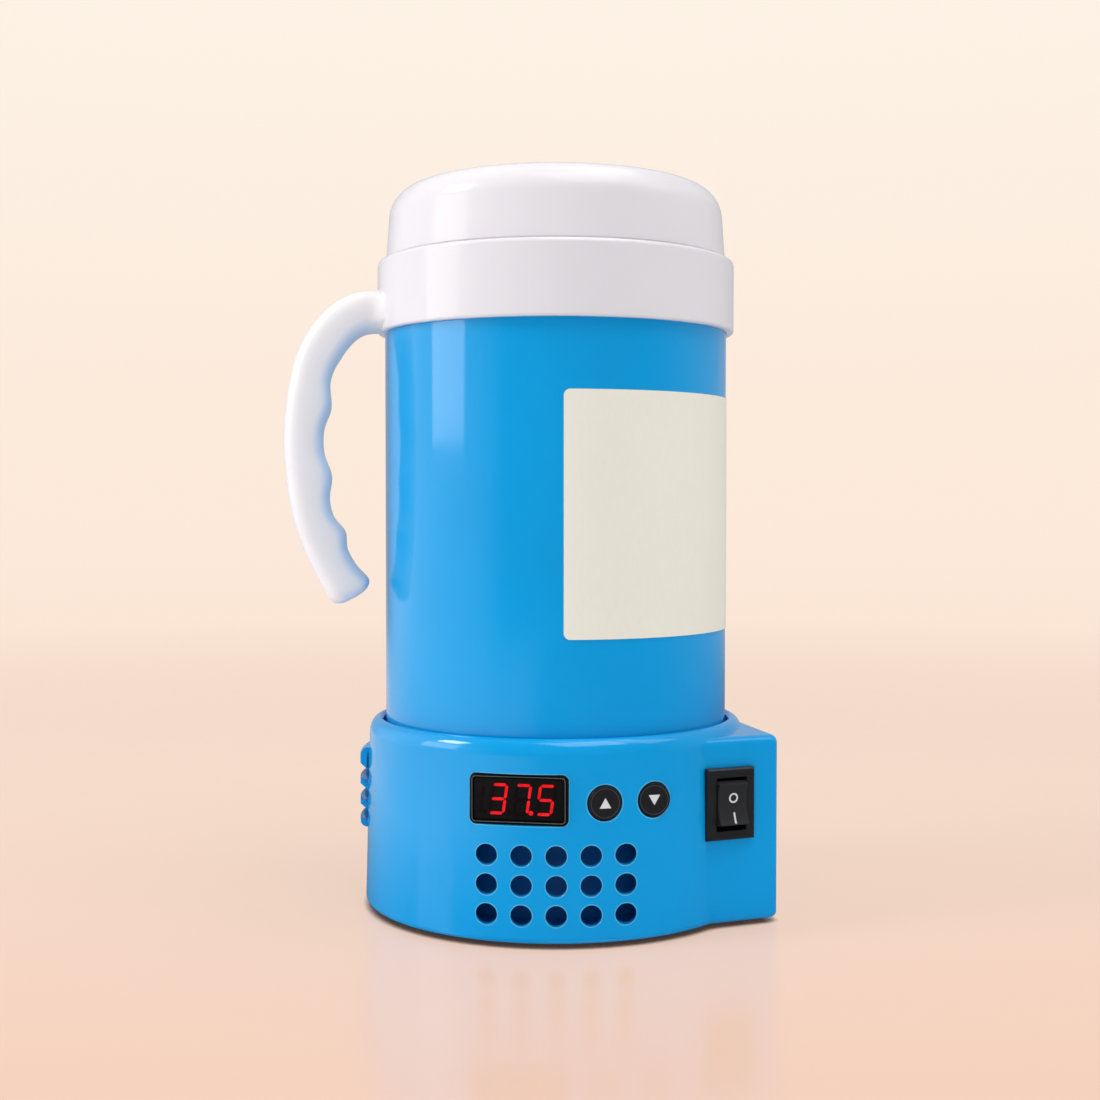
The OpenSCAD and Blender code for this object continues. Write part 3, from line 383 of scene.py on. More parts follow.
@dataclass(frozen=True)
class Sticker(Finish):
    """Matt printed film with a fibre grain."""

    stretch: Triple = (900, 900, 260)
    fibres: Pair = (1, 4)
    cloud: Pair = (18, 2)
    shares: Pair = (0.45, 0.55)
    shades: Pair = (0.975, 1.02)
    roughness: Pair = (0.5, 0.62)
    specular: float = 0.3
    depth: float = 0.006 * MM
    strength: float = 0.2

    def paint(self, g: Graph) -> None:
        """Feeds the shader.

        Args:
            g: Nodes of the finish's material.
        """
        fibres = g.noise(*self.fibres, g.mapped(self.stretch))
        patterns = zip((fibres, g.noise(*self.cloud)), self.shares)
        mixed = g.calculate("ADD", *(g.span(pattern, 0, share) for pattern, share in patterns))
        g.set(
            Base_Color=g.tones(mixed, *(shaded(self.colour, shade) for shade in self.shades)),
            Roughness=g.span(fibres, *self.roughness),
            Specular_IOR_Level=self.specular,
        )
        g.relief(fibres, self.depth, self.strength)


@dataclass(frozen=True)
class Rubber(Finish):
    """Soft rubber or silicone with a dusty bloom."""

    roughness: Pair = (0.62, 0.8)
    bloom: Pair = (130, 5)
    dust: float = 1.35
    specular: float = 0.35
    grain: float = 1500.0
    depth: float = 0.02 * MM
    strength: float = 0.3

    def paint(self, g: Graph) -> None:
        """Feeds the shader.

        Args:
            g: Nodes of the finish's material.
        """
        bloom = g.noise(*self.bloom)
        g.set(
            Base_Color=g.tones(g.span(bloom, 0, 1), self.colour, shaded(self.colour, self.dust)),
            Roughness=g.span(bloom, *self.roughness),
            Specular_IOR_Level=self.specular,
        )
        g.relief(g.noise(self.grain), self.depth, self.strength)


@dataclass(frozen=True)
class Glow(Finish):
    """Lit bar of the display: hotter in its middle, deeper where the lamp is weaker."""

    deep: Colour
    strength: float
    spots: float = 520.0
    smear: float = 900.0
    unlit: float = 0.1
    roughness: Pair = (0.35, 0.5)
    specular: float = 0.02

    def paint(self, g: Graph) -> None:
        """Feeds the shader.

        Args:
            g: Nodes of the finish's material.
        """
        spots = g.span(g.noise(self.spots), 0, 1)
        g.set(
            Emission_Color=g.tones(spots, self.deep, self.colour),
            Base_Color=g.tones(spots, shaded(self.deep, self.unlit), shaded(self.colour, self.unlit)),
            Roughness=g.span(g.noise(self.smear), *self.roughness),
            Emission_Strength=self.strength,
            Specular_IOR_Level=self.specular,
        )


@dataclass(frozen=True)
class Board(Finish):
    """Circuit board: solder mask over a net of copper tracks."""

    track: Colour
    cells: float = 130.0
    track_width: float = 0.035
    track_blur: float = 0.2
    stagger: float = 0.35
    squash: float = 0.7
    smear: Pair = (300, 3)
    gloss: Pair = (0.28, 0.42)
    depth: float = 0.03 * MM
    strength: float = 0.3

    def paint(self, g: Graph) -> None:
        """Feeds the shader.

        Args:
            g: Nodes of the finish's material.
        """
        lines = {"Mortar Size": self.track_width, "Mortar Smooth": self.track_blur}
        inputs = {"Vector": g.coords, "Scale": self.cells, **lines}
        tracks = g.add("ShaderNodeTexBrick", inputs, offset=self.stagger, squash=self.squash).outputs["Fac"]
        g.set(
            Base_Color=g.tones(tracks, self.colour, self.track),
            Roughness=g.span(g.noise(*self.smear), *self.gloss),
        )
        g.relief(tracks, self.depth, self.strength)


@dataclass(frozen=True)
class Fibre(Finish):
    """Insulating felt or foam with open pores."""

    pores: float = 700.0
    pore_range: Pair = (0, 0.8)
    shade: float = 0.78
    smear: Pair = (90, 3)
    roughness: Pair = (0.8, 0.95)
    depth: float = 0.15 * MM
    strength: float = 0.5

    def paint(self, g: Graph) -> None:
        """Feeds the shader.

        Args:
            g: Nodes of the finish's material.
        """
        cells = g.add("ShaderNodeTexVoronoi", {"Vector": g.coords, "Scale": self.pores}).outputs["Distance"]
        open_share = g.span(cells, 0, 1, self.pore_range)
        g.set(
            Base_Color=g.tones(open_share, self.colour, shaded(self.colour, self.shade)),
            Roughness=g.span(g.noise(*self.smear), *self.roughness),
        )
        g.relief(cells, self.depth, self.strength)


@dataclass(frozen=True)
class Winding(Finish):
    """Lacquered copper wire wound round a core."""

    turns: float = 700.0
    shade: float = 0.45
    roughness: Pair = (0.5, 0.3)
    metallic: float = 0.6
    depth: float = 0.2 * MM
    strength: float = 0.6

    def paint(self, g: Graph) -> None:
        """Feeds the shader.

        Args:
            g: Nodes of the finish's material.
        """
        inputs = {"Vector": g.coords, "Scale": self.turns}
        turns = g.add("ShaderNodeTexWave", inputs, wave_type="BANDS", bands_direction="Z").outputs["Fac"]
        g.set(
            Base_Color=g.tones(turns, shaded(self.colour, self.shade), self.colour),
            Roughness=g.span(turns, *self.roughness, WHOLE_RANGE),
            Metallic=self.metallic,
        )
        g.relief(turns, self.depth, self.strength)


class Skin(Enum):
    """Every finish. A plastic's numbers are its gloss, specular, drift, grain, depth and strength."""

    BLUE = Plastic("gloss_blue", (0.004, 0.364, 0.785), (0.07, 0.11), 0.48, edge=0.5 * MM)
    # painted shade: a darker copy of the housing's blue for the box behind the vents
    SHADED_BLUE = Plastic("painted_shade_blue", (0.002, 0.15, 0.44), (0.3, 0.4), 0.3)
    WHITE = Plastic("gloss_white", (0.835, 0.808, 0.832), (0.12, 0.17), 0.32, 0.012)
    # painted light: a lighter, warmer copy of the lid's white for the handle, offsetting its dimmer light
    # and the cup's blue bounce
    PAINTED_LIGHT_WHITE = Plastic("white_with_painted_light", (0.91, 0.885, 0.885), (0.28, 0.33), 0.4, 0.012)
    BLACK = Plastic("satin_black", (0.0175, 0.018, 0.021), (0.34, 0.44), 0.38, 0.12, 900, 0.02 * MM, 0.3)
    ROCKER = Plastic("rocker_black", (0.0265, 0.027, 0.031), (0.3, 0.4), 0.3, 0.1, 900, 0.02 * MM, 0.3)
    KEYCAP = Plastic("soft_black", (0.017, 0.017, 0.02), (0.28, 0.34), 0.16, 0.1, 900, 0.02 * MM, 0.3)
    PIANO = Plastic("gloss_black", (0.006, 0.006, 0.0065), (0.14, 0.2), 0.2, 0.1)
    # painted highlight: a grey line that stands in for light caught on the display frame's edge
    PAINTED_EDGE_HIGHLIGHT = Plastic("painted_edge_highlight", (0.16, 0.16, 0.165), (0.3, 0.4), 0.4, 0.06)
    # painted highlight: a lighter blue that stands in for light caught on the rounded edges of the openings
    PAINTED_RIM_HIGHLIGHT = Plastic("painted_rim_highlight", (0.1, 0.58, 0.94), (0.15, 0.25), 0.5)
    # painted highlight: a dark grey ring that stands in for light caught on each key's rounded edge
    PAINTED_KEY_HIGHLIGHT = Plastic("painted_key_edge_highlight", (0.075, 0.075, 0.08), (0.3, 0.4), 0.4, 0.06)
    COVER = Plastic("matt_black", (0.018, 0.018, 0.02), (0.5, 0.65), 0.35, 0.1, 1300, 0.04 * MM, 0.6)
    PRINT = Plastic("white_print", (0.78, 0.78, 0.78), (0.45, 0.6), 0.25, 0.03, 1500)
    WINDOW = Plastic("dark_window", (0.006, 0.005, 0.005), (0.12, 0.18), 0.2, 0.15, 300, 0.006 * MM, 0.1)
    CERAMIC = Plastic("glazed_white", (0.74, 0.73, 0.68), (0.28, 0.4), 0.5, 0.05)
    PART_BLUE = Plastic("relay_blue", (0.03, 0.1, 0.32), (0.35, 0.5), 0.4, 0.08)
    PART_GREEN = Plastic("terminal_green", (0.03, 0.24, 0.1), (0.4, 0.5), 0.4, 0.08)
    PART_SLEEVE = Plastic("capacitor_sleeve", (0.012, 0.016, 0.05), (0.28, 0.35), 0.45, 0.1)
    RUBBER = Rubber("sole_rubber", (0.016, 0.016, 0.017))
    SEAL = Rubber("clear_silicone", (0.52, 0.54, 0.56), (0.35, 0.5))
    LABEL = Sticker("cream_film", (0.915, 0.893, 0.76))
    STEEL = Metal("drawn_steel", (0.62, 0.62, 0.63))
    SCREW = Metal("plated_screw", (0.55, 0.55, 0.56), (0.3, 0.42), (400, 400, 400))
    BRASS = Metal("plated_brass", (0.72, 0.58, 0.32), (0.28, 0.4), (900, 900, 60))
    PLATE = TurnedMetal("faced_aluminium", (0.78, 0.79, 0.8))
    LIT = Glow("glowing_bar", (1.0, 0.02, 0.027), (0.74, 0.005, 0.011), 1.0)
    UNLIT = Plastic("resting_bar", (0.0105, 0.0055, 0.0055), (0.3, 0.4), 0.06, 0.3, 900)
    BOARD = Board("green_board", (0.012, 0.11, 0.045), (0.03, 0.2, 0.08))
    FELT = Fibre("mineral_felt", (0.7, 0.67, 0.58))
    FOAM = Fibre("pale_foam", (0.8, 0.76, 0.62), 420)
    COIL = Winding("copper_coil", (0.62, 0.36, 0.14))

    def material(self) -> Material:
        """Finds the finish's material, which is made at its first use.

        Returns:
            The material.
        """
        if self.name not in MADE:
            MADE[self.name] = self.value.build()
        return MADE[self.name]


def soften_group() -> NodeTree:
    """Makes the modifier that joins a node's loose triangles and shades them smooth between its edges.

    Returns:
        The geometry node group.
    """
    found = bpy.data.node_groups.get("soften")
    if found:
        return found
    group = bpy.data.node_groups.new("soften", "GeometryNodeTree")
    for way in ("INPUT", "OUTPUT"):
        group.interface.new_socket("Geometry", in_out=way, socket_type="NodeSocketGeometry")
    steps = Nodes(group)
    loose = steps.add("NodeGroupInput").outputs[0]
    plain = steps.add("GeometryNodeRemoveAttribute", {0: loose, "Name": "custom_normal"}).outputs[0]
    joined = steps.add("GeometryNodeMergeByDistance", {0: plain, "Distance": WELD}).outputs[0]
    smooth = steps.add("GeometryNodeSetShadeSmooth", {0: joined}).outputs[0]
    bend = {"A": steps.add("GeometryNodeInputMeshEdgeAngle").outputs["Unsigned Angle"], "B": SOFT_ANGLE}
    test = {"data_type": "FLOAT", "operation": "GREATER_THAN"}
    sharp = steps.add("FunctionNodeCompare", bend, **test).outputs["Result"]
    edges = {0: smooth, "Selection": sharp, "Shade Smooth": False}
    creased = steps.add("GeometryNodeSetShadeSmooth", edges, domain="EDGE").outputs[0]
    steps.add("NodeGroupOutput", {0: creased})
    return group


def dress(node: str, skin: Skin) -> None:
    """Gives a node of the frame its finish and smooth shading.

    Args:
        node: Name of the node.
        skin: Its finish.
    """
    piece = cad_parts[node]
    piece.data.materials.clear()
    piece.data.materials.append(skin.material())
    soften = piece.modifiers.new("soften", "NODES")
    soften.node_group = soften_group()
    even = piece.modifiers.new("even", "WEIGHTED_NORMAL")
    even.keep_sharp = True
    LOG.info("dressed %s in %s", node, skin.value.name)


def add_piece(name: str, bm: BMesh, skin: Skin, body: Body) -> Object:
    """Turns a mesh into a piece of the part.

    Args:
        name: Name of the piece.
        bm: Mesh in the part's frame, which is freed.
        skin: Its finish.
        body: The group that it moves with.

    Returns:
        The new piece.
    """
    bmesh.ops.remove_doubles(bm, verts=bm.verts[:], dist=FINE_WELD)
    bmesh.ops.recalc_face_normals(bm, faces=bm.faces[:])
    mesh = bpy.data.meshes.new(name)
    bm.to_mesh(mesh)
    bm.free()
    mesh.polygons.foreach_set("use_smooth", [True] * len(mesh.polygons))
    mesh.set_sharp_from_angle(angle=SHARP_ANGLE)
    mesh.materials.append(skin.material())
    piece = bpy.data.objects.new(name, mesh)
    bpy.context.scene.collection.objects.link(piece)
    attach(piece, body.value)
    LOG.info("built %s, %d faces", name, len(mesh.polygons))
    return piece


def facing(azimuth: float, across: float, height: float, out: float) -> Matrix:
    """Places a flat drawing, x across, y up and z outward, in front of the axis.

    Args:
        azimuth: Direction from the front towards the right, in degrees.
        across: Sideways place in metres.
        height: Height above the table in metres.
        out: Distance from the axis in metres.

    Returns:
        The placing matrix.
    """
    turn = Matrix.Rotation(math.radians(azimuth), 4, "Z")
    stand = Matrix.Rotation(math.radians(90), 4, "X")
    return turn @ Matrix.Translation((across, -out, height)) @ stand


@dataclass
class Assembly:
    """Group of nodes that have a finish each."""

    skins: ClassVar[dict[str, Skin]] = {}

    def build(self) -> None:
        """Dresses the nodes."""
        for node, skin in self.skins.items():
            dress(node, skin)


@dataclass
class Housing(Assembly):
    """Round base with the switch block, vents, louvre and inlet."""

    skins = {
        "base_housing": Skin.BLUE, "side_louvre": Skin.BLUE, "bottom_cover": Skin.COVER,
        "foot_ring": Skin.RUBBER, "cover_screws": Skin.SCREW, "power_inlet": Skin.COVER,
        "inlet_pins": Skin.BRASS,
    }
    rim_radius: float = 58.0 * MM
    foot_radius: float = 59.4 * MM
    foot_height: float = 1.2 * MM
    height: float = 58.3 * MM
    vent_radius: float = 3.0 * MM
    vent_pitch: Pair = (9.8 * MM, 8.35 * MM)
    vent_grid: tuple[int, int] = (5, 3)
    vent_top: float = 25.9 * MM
    wall: float = 2.4 * MM
    hood_margin: float = 1.2 * MM
    hood_depth: float = 9.0 * MM
    hood_wall: float = 1.0 * MM
    hood_touch: float = 0.05 * MM
    hood_cells: tuple[int, int] = (32, 8)
    # sizes of the painted highlight rings round the vents, the keys and the display
    vent_highlight_radii: Pair = (3.02 * MM, 3.3 * MM)
    key_highlight_radii: Pair = (5.17 * MM, 5.47 * MM)
    display_highlight_ring: tuple[Pair, float, float] = ((28.85 * MM, 14.95 * MM), 2.15 * MM, 0.24 * MM)

    def radius(self, z: float) -> float:
        """Returns the wall's outer radius at the height z."""
        share = (z - self.foot_height) / (self.height - self.foot_height)
        return self.foot_radius + (self.rim_radius - self.foot_radius) * share

    def bend_to_wall(self, bm: BMesh) -> None:
        """Lays a drawing whose plane holds the axis against the inside of the front wall.

        Args:
            bm: Mesh in the part's frame, with its depth counted from the axis.
        """
        for vert in bm.verts:
            inside = self.radius(vert.co.z) - self.wall
            vert.co.y -= math.sqrt(inside ** 2 - vert.co.x ** 2)

    def build_hood(self) -> None:
        """Moulds a shallow box behind the front vents, in a darker blue that is painted shade for the
        vents' insides.
        """
        columns, rows = self.vent_grid
        border = 2 * (self.vent_radius + self.hood_margin)
        wide = (columns - 1) * self.vent_pitch[0] + border
        tall = (rows - 1) * self.vent_pitch[1] + border
        middle = self.vent_top - (rows - 1) / 2 * self.vent_pitch[1]
        bm = bmesh.new()
        place = facing(0, 0, middle, -self.hood_depth) @ Matrix.Diagonal((wide, tall, 1, 1))
        across, up = self.hood_cells
        bmesh.ops.create_grid(bm, x_segments=across, y_segments=up, size=0.5, matrix=place)
        rim = [edge for edge in bm.edges if edge.is_boundary]
        grown = bmesh.ops.extrude_edge_only(bm, edges=rim)["geom"]
        mouth = [v for v in grown if isinstance(v, BMVert)]
        bmesh.ops.translate(bm, verts=mouth, vec=(0, self.hood_touch - self.hood_depth, 0))
        bmesh.ops.recalc_face_normals(bm, faces=bm.faces[:])
        bmesh.ops.solidify(bm, geom=bm.faces[:], thickness=self.hood_wall)
        self.bend_to_wall(bm)
        bmesh.ops.recalc_face_normals(bm, faces=bm.faces[:])
        # the hood's darker blue is painted shade inside the vents
        add_piece("vent_hood", bm, Skin.SHADED_BLUE, Body.BASE)

    def lay_highlight_ring(self, name: str, bm: BMesh, azimuth: float, height: float) -> None:
        """Lays rings of painted highlight on the wall.

        Args:
            name: Name of the piece.
            bm: Drawing of the rims.
            azimuth: Direction that the drawing faces.
            height: Height of the drawing's middle.
        """
        place = facing(azimuth, 0, height, self.foot_radius)
        # the rings are painted highlight, a lighter blue laid flat on the wall
        Printing("base_housing", Body.BASE, place).finish(name, bm, Skin.PAINTED_RIM_HIGHLIGHT, "blue_plastic")

    def build_highlight_rings(self) -> None:
        """Lays the painted highlight rings round the vents, the keys and the display."""
        columns, rows = self.vent_grid
        vents = [
            ((i - (columns - 1) / 2) * self.vent_pitch[0], -k * self.vent_pitch[1])
            for i in range(columns) for k in range(rows)
        ]
        self.lay_highlight_ring("vent_highlight_rings", ring_drawing(self.vent_highlight_radii, vents), 0, self.vent_top)
        keys = [(across, 0.0) for across in Buttons.places]
        self.lay_highlight_ring("key_highlight_rings", ring_drawing(self.key_highlight_radii, keys), Buttons.azimuth, Buttons.height)
        self.lay_highlight_ring("display_highlight_ring", frame_drawing(*self.display_highlight_ring), Display.azimuth, Display.height)

    def build(self) -> None:
        """Dresses the base and adds the painted highlight rings round its openings and the hood, in painted
        shade, behind its vents.
        """
        super().build()
        self.build_hood()
        self.build_highlight_rings()


@dataclass
class Heater(Assembly):
    """Heating plate and what is clamped under it."""

    skins = {
        "heating_plate": Skin.PLATE, "plate_seal": Skin.SEAL, "heater_ring": Skin.STEEL,
        "heater_pad": Skin.FELT, "heater_clamp": Skin.STEEL, "clamp_screws": Skin.SCREW,
        "temperature_probe": Skin.STEEL, "thermal_cutoff": Skin.CERAMIC,
    }


@dataclass
class Electronics(Assembly):
    """Power board and the boards behind the controls."""

    skins = {
        "power_board": Skin.BOARD, "board_screws": Skin.SCREW, "transformer": Skin.COIL,
        "capacitors": Skin.PART_SLEEVE, "relay": Skin.PART_BLUE, "terminal_block": Skin.PART_GREEN,
        "display_board": Skin.BOARD, "button_board": Skin.BOARD, "tact_switches": Skin.BLACK,
    }


@dataclass
class Display(Assembly):
    """Framed window with lit and unlit digit bars."""

    skins = {
        "display_frame": Skin.PIANO, "display_module": Skin.WINDOW,
        "lit_segments": Skin.LIT, "dark_segments": Skin.UNLIT,
    }
    azimuth: float = -10.6
    height: float = 41.5 * MM
    front: float = 58.2 * MM
    # size, corner and width of the painted highlight line along the frame's edge
    line_size: Pair = (26.8 * MM, 12.9 * MM)
    line_corner: float = 1.1 * MM
    line_width: float = 0.17 * MM

    def build_edge_highlight(self) -> None:
        """Lays the painted highlight line along the frame's edge."""
        bm = frame_drawing(self.line_size, self.line_corner, self.line_width)
        place = facing(self.azimuth, 0, self.height, self.front)
        # a grey line of painted highlight along the frame's edge
        Printing("display_frame", Body.BASE, place).finish("display_edge_highlight", bm, Skin.PAINTED_EDGE_HIGHLIGHT, "black_plastic")

    def build(self) -> None:
        """Dresses the display and paints a highlight line along its frame."""
        super().build()
        self.build_edge_highlight()


@dataclass
class Printing:
    """Flat print that is pressed onto a node's front."""

    node: str
    body: Body
    place: Matrix
    reach: float = 20 * MM
    lift: float = 0.035 * MM

    def lay(self, bm: BMesh) -> None:
        """Moves a flat drawing straight back onto the node and gives it thickness.

        Args:
            bm: Drawing in its own plane, which becomes the print in the part's frame.
        """
        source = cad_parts[self.node].data
        tree = BVHTree.FromPolygons([v.co for v in source.vertices], [p.vertices for p in source.polygons])
        inward = -(self.place.to_3x3() @ Vector((0, 0, 1)))
        bmesh.ops.transform(bm, matrix=self.place, verts=bm.verts[:])
        for vert in bm.verts:
            hit = tree.ray_cast(vert.co - inward * self.reach, inward)[0]
            vert.co = (hit if hit else vert.co) - inward * self.lift
        base = bm.faces[:]
        grown = bmesh.ops.extrude_face_region(bm, geom=base)["geom"]
        under = [v for v in grown if isinstance(v, BMVert)]
        bmesh.ops.translate(bm, verts=under, vec=inward * 2 * self.lift)

    def finish(
        self, name: str, bm: BMesh, skin: Skin = Skin.PRINT, slot: str = "white_plastic",
    ) -> None:
        """Lays the drawing and adds it as a piece.

        Args:
            name: Name of the piece.
            bm: Drawing in its own plane.
            skin: Finish of the print.
            slot: Material slot in the record; not used.
        """
        self.lay(bm)
        add_piece(name, bm, skin, self.body)


def round_corners(bm: BMesh, verts: list[BMVert], size: float, steps: int) -> None:
    """Rounds corners of a flat drawing.

    Args:
        bm: The drawing.
        verts: Its corners.
        size: Size of the rounding.
        steps: Segments of each rounding.
    """
    bmesh.ops.bevel(
        bm, geom=verts, offset=size, offset_type="OFFSET", segments=steps, profile=0.5,
        affect="VERTICES", material=-1,
    )


def frame_drawing(size: Pair, corner: float, width: float) -> BMesh:
    """Draws a flat line round a rectangle with round corners.

    Args:
        size: Width and height over the line.
        corner: Outer corner radius.
        width: Width of the line.

    Returns:
        The line's mesh.
    """
    bm = bmesh.new()
    bmesh.ops.create_grid(bm, x_segments=1, y_segments=1, size=0.5, matrix=Matrix.Diagonal((*size, 1, 1)))
    round_corners(bm, bm.verts[:], corner, FRAME_CORNER_STEPS)
    inside = bm.faces[:]
    bmesh.ops.inset_region(bm, faces=inside, thickness=width, use_boundary=True, use_even_offset=True)
    bmesh.ops.delete(bm, geom=inside, context="FACES")
    long = [edge for edge in bm.edges if edge.calc_length() > 2 * corner]
    bmesh.ops.subdivide_edges(bm, edges=long, cuts=FRAME_CUTS, use_grid_fill=True)
    return bm


def edges_of(verts: Iterable[BMVert]) -> list[BMEdge]:
    """Lists the edges at some corners, each once.

    Args:
        verts: The corners.

    Returns:
        Their edges.
    """
    return list(dict.fromkeys(edge for vert in verts for edge in vert.link_edges))


def ring_drawing(radii: Pair, centres: Iterable[Pair] = ((0.0, 0.0),)) -> BMesh:
    """Draws flat rings.

    Args:
        radii: Inner and outer radius.
        centres: Middle of each ring.

    Returns:
        The rings' mesh.
    """
    bm = bmesh.new()
    for centre in centres:
        place = Matrix.Translation((*centre, 0))
        loops: list[BMEdge] = []
        for radius in radii:
            circle = bmesh.ops.create_circle(bm, segments=RING_STEPS, radius=radius, matrix=place)
            loops += edges_of(circle["verts"])
        bmesh.ops.bridge_loops(bm, edges=loops)
    return bm


@dataclass
class Buttons(Assembly):
    """Two round keys with an up and a down triangle."""

    skins = {"button_up": Skin.KEYCAP, "button_down": Skin.KEYCAP}
    azimuth: float = 14.0
    height: float = 40.6 * MM
    places: Pair = (-0.5 * MM, 14.4 * MM)
    front: float = 58.9 * MM
    mark_radius: float = 1.98 * MM
    mark_round: float = 0.16 * MM
    # radii of the painted highlight ring on each key
    highlight_radii: Pair = (4.0 * MM, 4.22 * MM)

    def print_on(self, node: str, body: Body, across: float) -> Printing:
        """Readies a print on one key.

        Args:
            node: Key that carries it.
            body: Group of that key.
            across: Sideways place of the key.

        Returns:
            The print.
        """
        return Printing(node, body, facing(self.azimuth, across, self.height, self.front))

    def draw_mark(self, turn: float) -> BMesh:
        """Draws one triangle.

        Args:
            turn: Turn of the triangle in degrees.

        Returns:
            The triangle's mesh.
        """
        bm = bmesh.new()
        bmesh.ops.create_circle(bm, cap_ends=True, segments=3, radius=self.mark_radius)
        round_corners(bm, bm.verts[:], self.mark_round, MARK_CORNER_STEPS)
        spin = Matrix.Rotation(math.radians(turn), 3, "Z")
        bmesh.ops.rotate(bm, cent=(0, 0, 0), matrix=spin, verts=bm.verts[:])
        low = min(v.co.y for v in bm.verts)
        high = max(v.co.y for v in bm.verts)
        bmesh.ops.translate(bm, verts=bm.verts[:], vec=(0, -(low + high) / 2, 0))
        return bm

    def build(self) -> None:
        """Dresses the keys, paints highlight rings along their edges and prints their triangles."""
        super().build()
        up = self.print_on("button_up", Body.UP_KEY, self.places[0])
        down = self.print_on("button_down", Body.DOWN_KEY, self.places[1])
        up.finish("mark_up", self.draw_mark(0))
        down.finish("mark_down", self.draw_mark(180))
        # painted highlight rings along the keys' rounded edges
        up.finish("key_highlight_up", ring_drawing(self.highlight_radii), Skin.PAINTED_KEY_HIGHLIGHT, "black_plastic")
        down.finish("key_highlight_down", ring_drawing(self.highlight_radii), Skin.PAINTED_KEY_HIGHLIGHT, "black_plastic")


@dataclass
class RockerSwitch(Assembly):
    """Framed rocker with a ring for off and a bar for on."""

    skins = {"switch_frame": Skin.BLACK, "switch_terminals": Skin.BRASS, "rocker": Skin.ROCKER}
    azimuth: float = 22.0
    across: float = 33.65 * MM
    front: float = 55.6 * MM
    ring_height: float = 38.6 * MM
    ring_radii: Pair = (0.95 * MM, 1.48 * MM)
    bar_height: float = 32.9 * MM
    bar_size: Pair = (0.6 * MM, 3.1 * MM)
    bar_cells: int = 10
    bar_round: float = 0.18 * MM

    def print_at(self, height: float) -> Printing:
        """Readies a print on the rocker.

        Args:
            height: Height of the print's middle.

        Returns:
            The print.
        """
        return Printing("rocker", Body.ROCKER, facing(self.azimuth, self.across, height, self.front))

    def draw_bar(self) -> BMesh:
        """Draws the bar.

        Returns:
            The bar's mesh.
        """
        bm = bmesh.new()
        bmesh.ops.create_grid(bm, x_segments=1, y_segments=self.bar_cells, size=0.5)
        bmesh.ops.scale(bm, vec=(*self.bar_size, 1), verts=bm.verts[:])
        ends = [v for v in bm.verts if len(v.link_edges) == 2]
        round_corners(bm, ends, self.bar_round, MARK_CORNER_STEPS)
        return bm

    def build(self) -> None:
        """Dresses the switch and prints its marks."""
        super().build()
        self.print_at(self.ring_height).finish("mark_off", ring_drawing(self.ring_radii))
        self.print_at(self.bar_height).finish("mark_on", self.draw_bar())


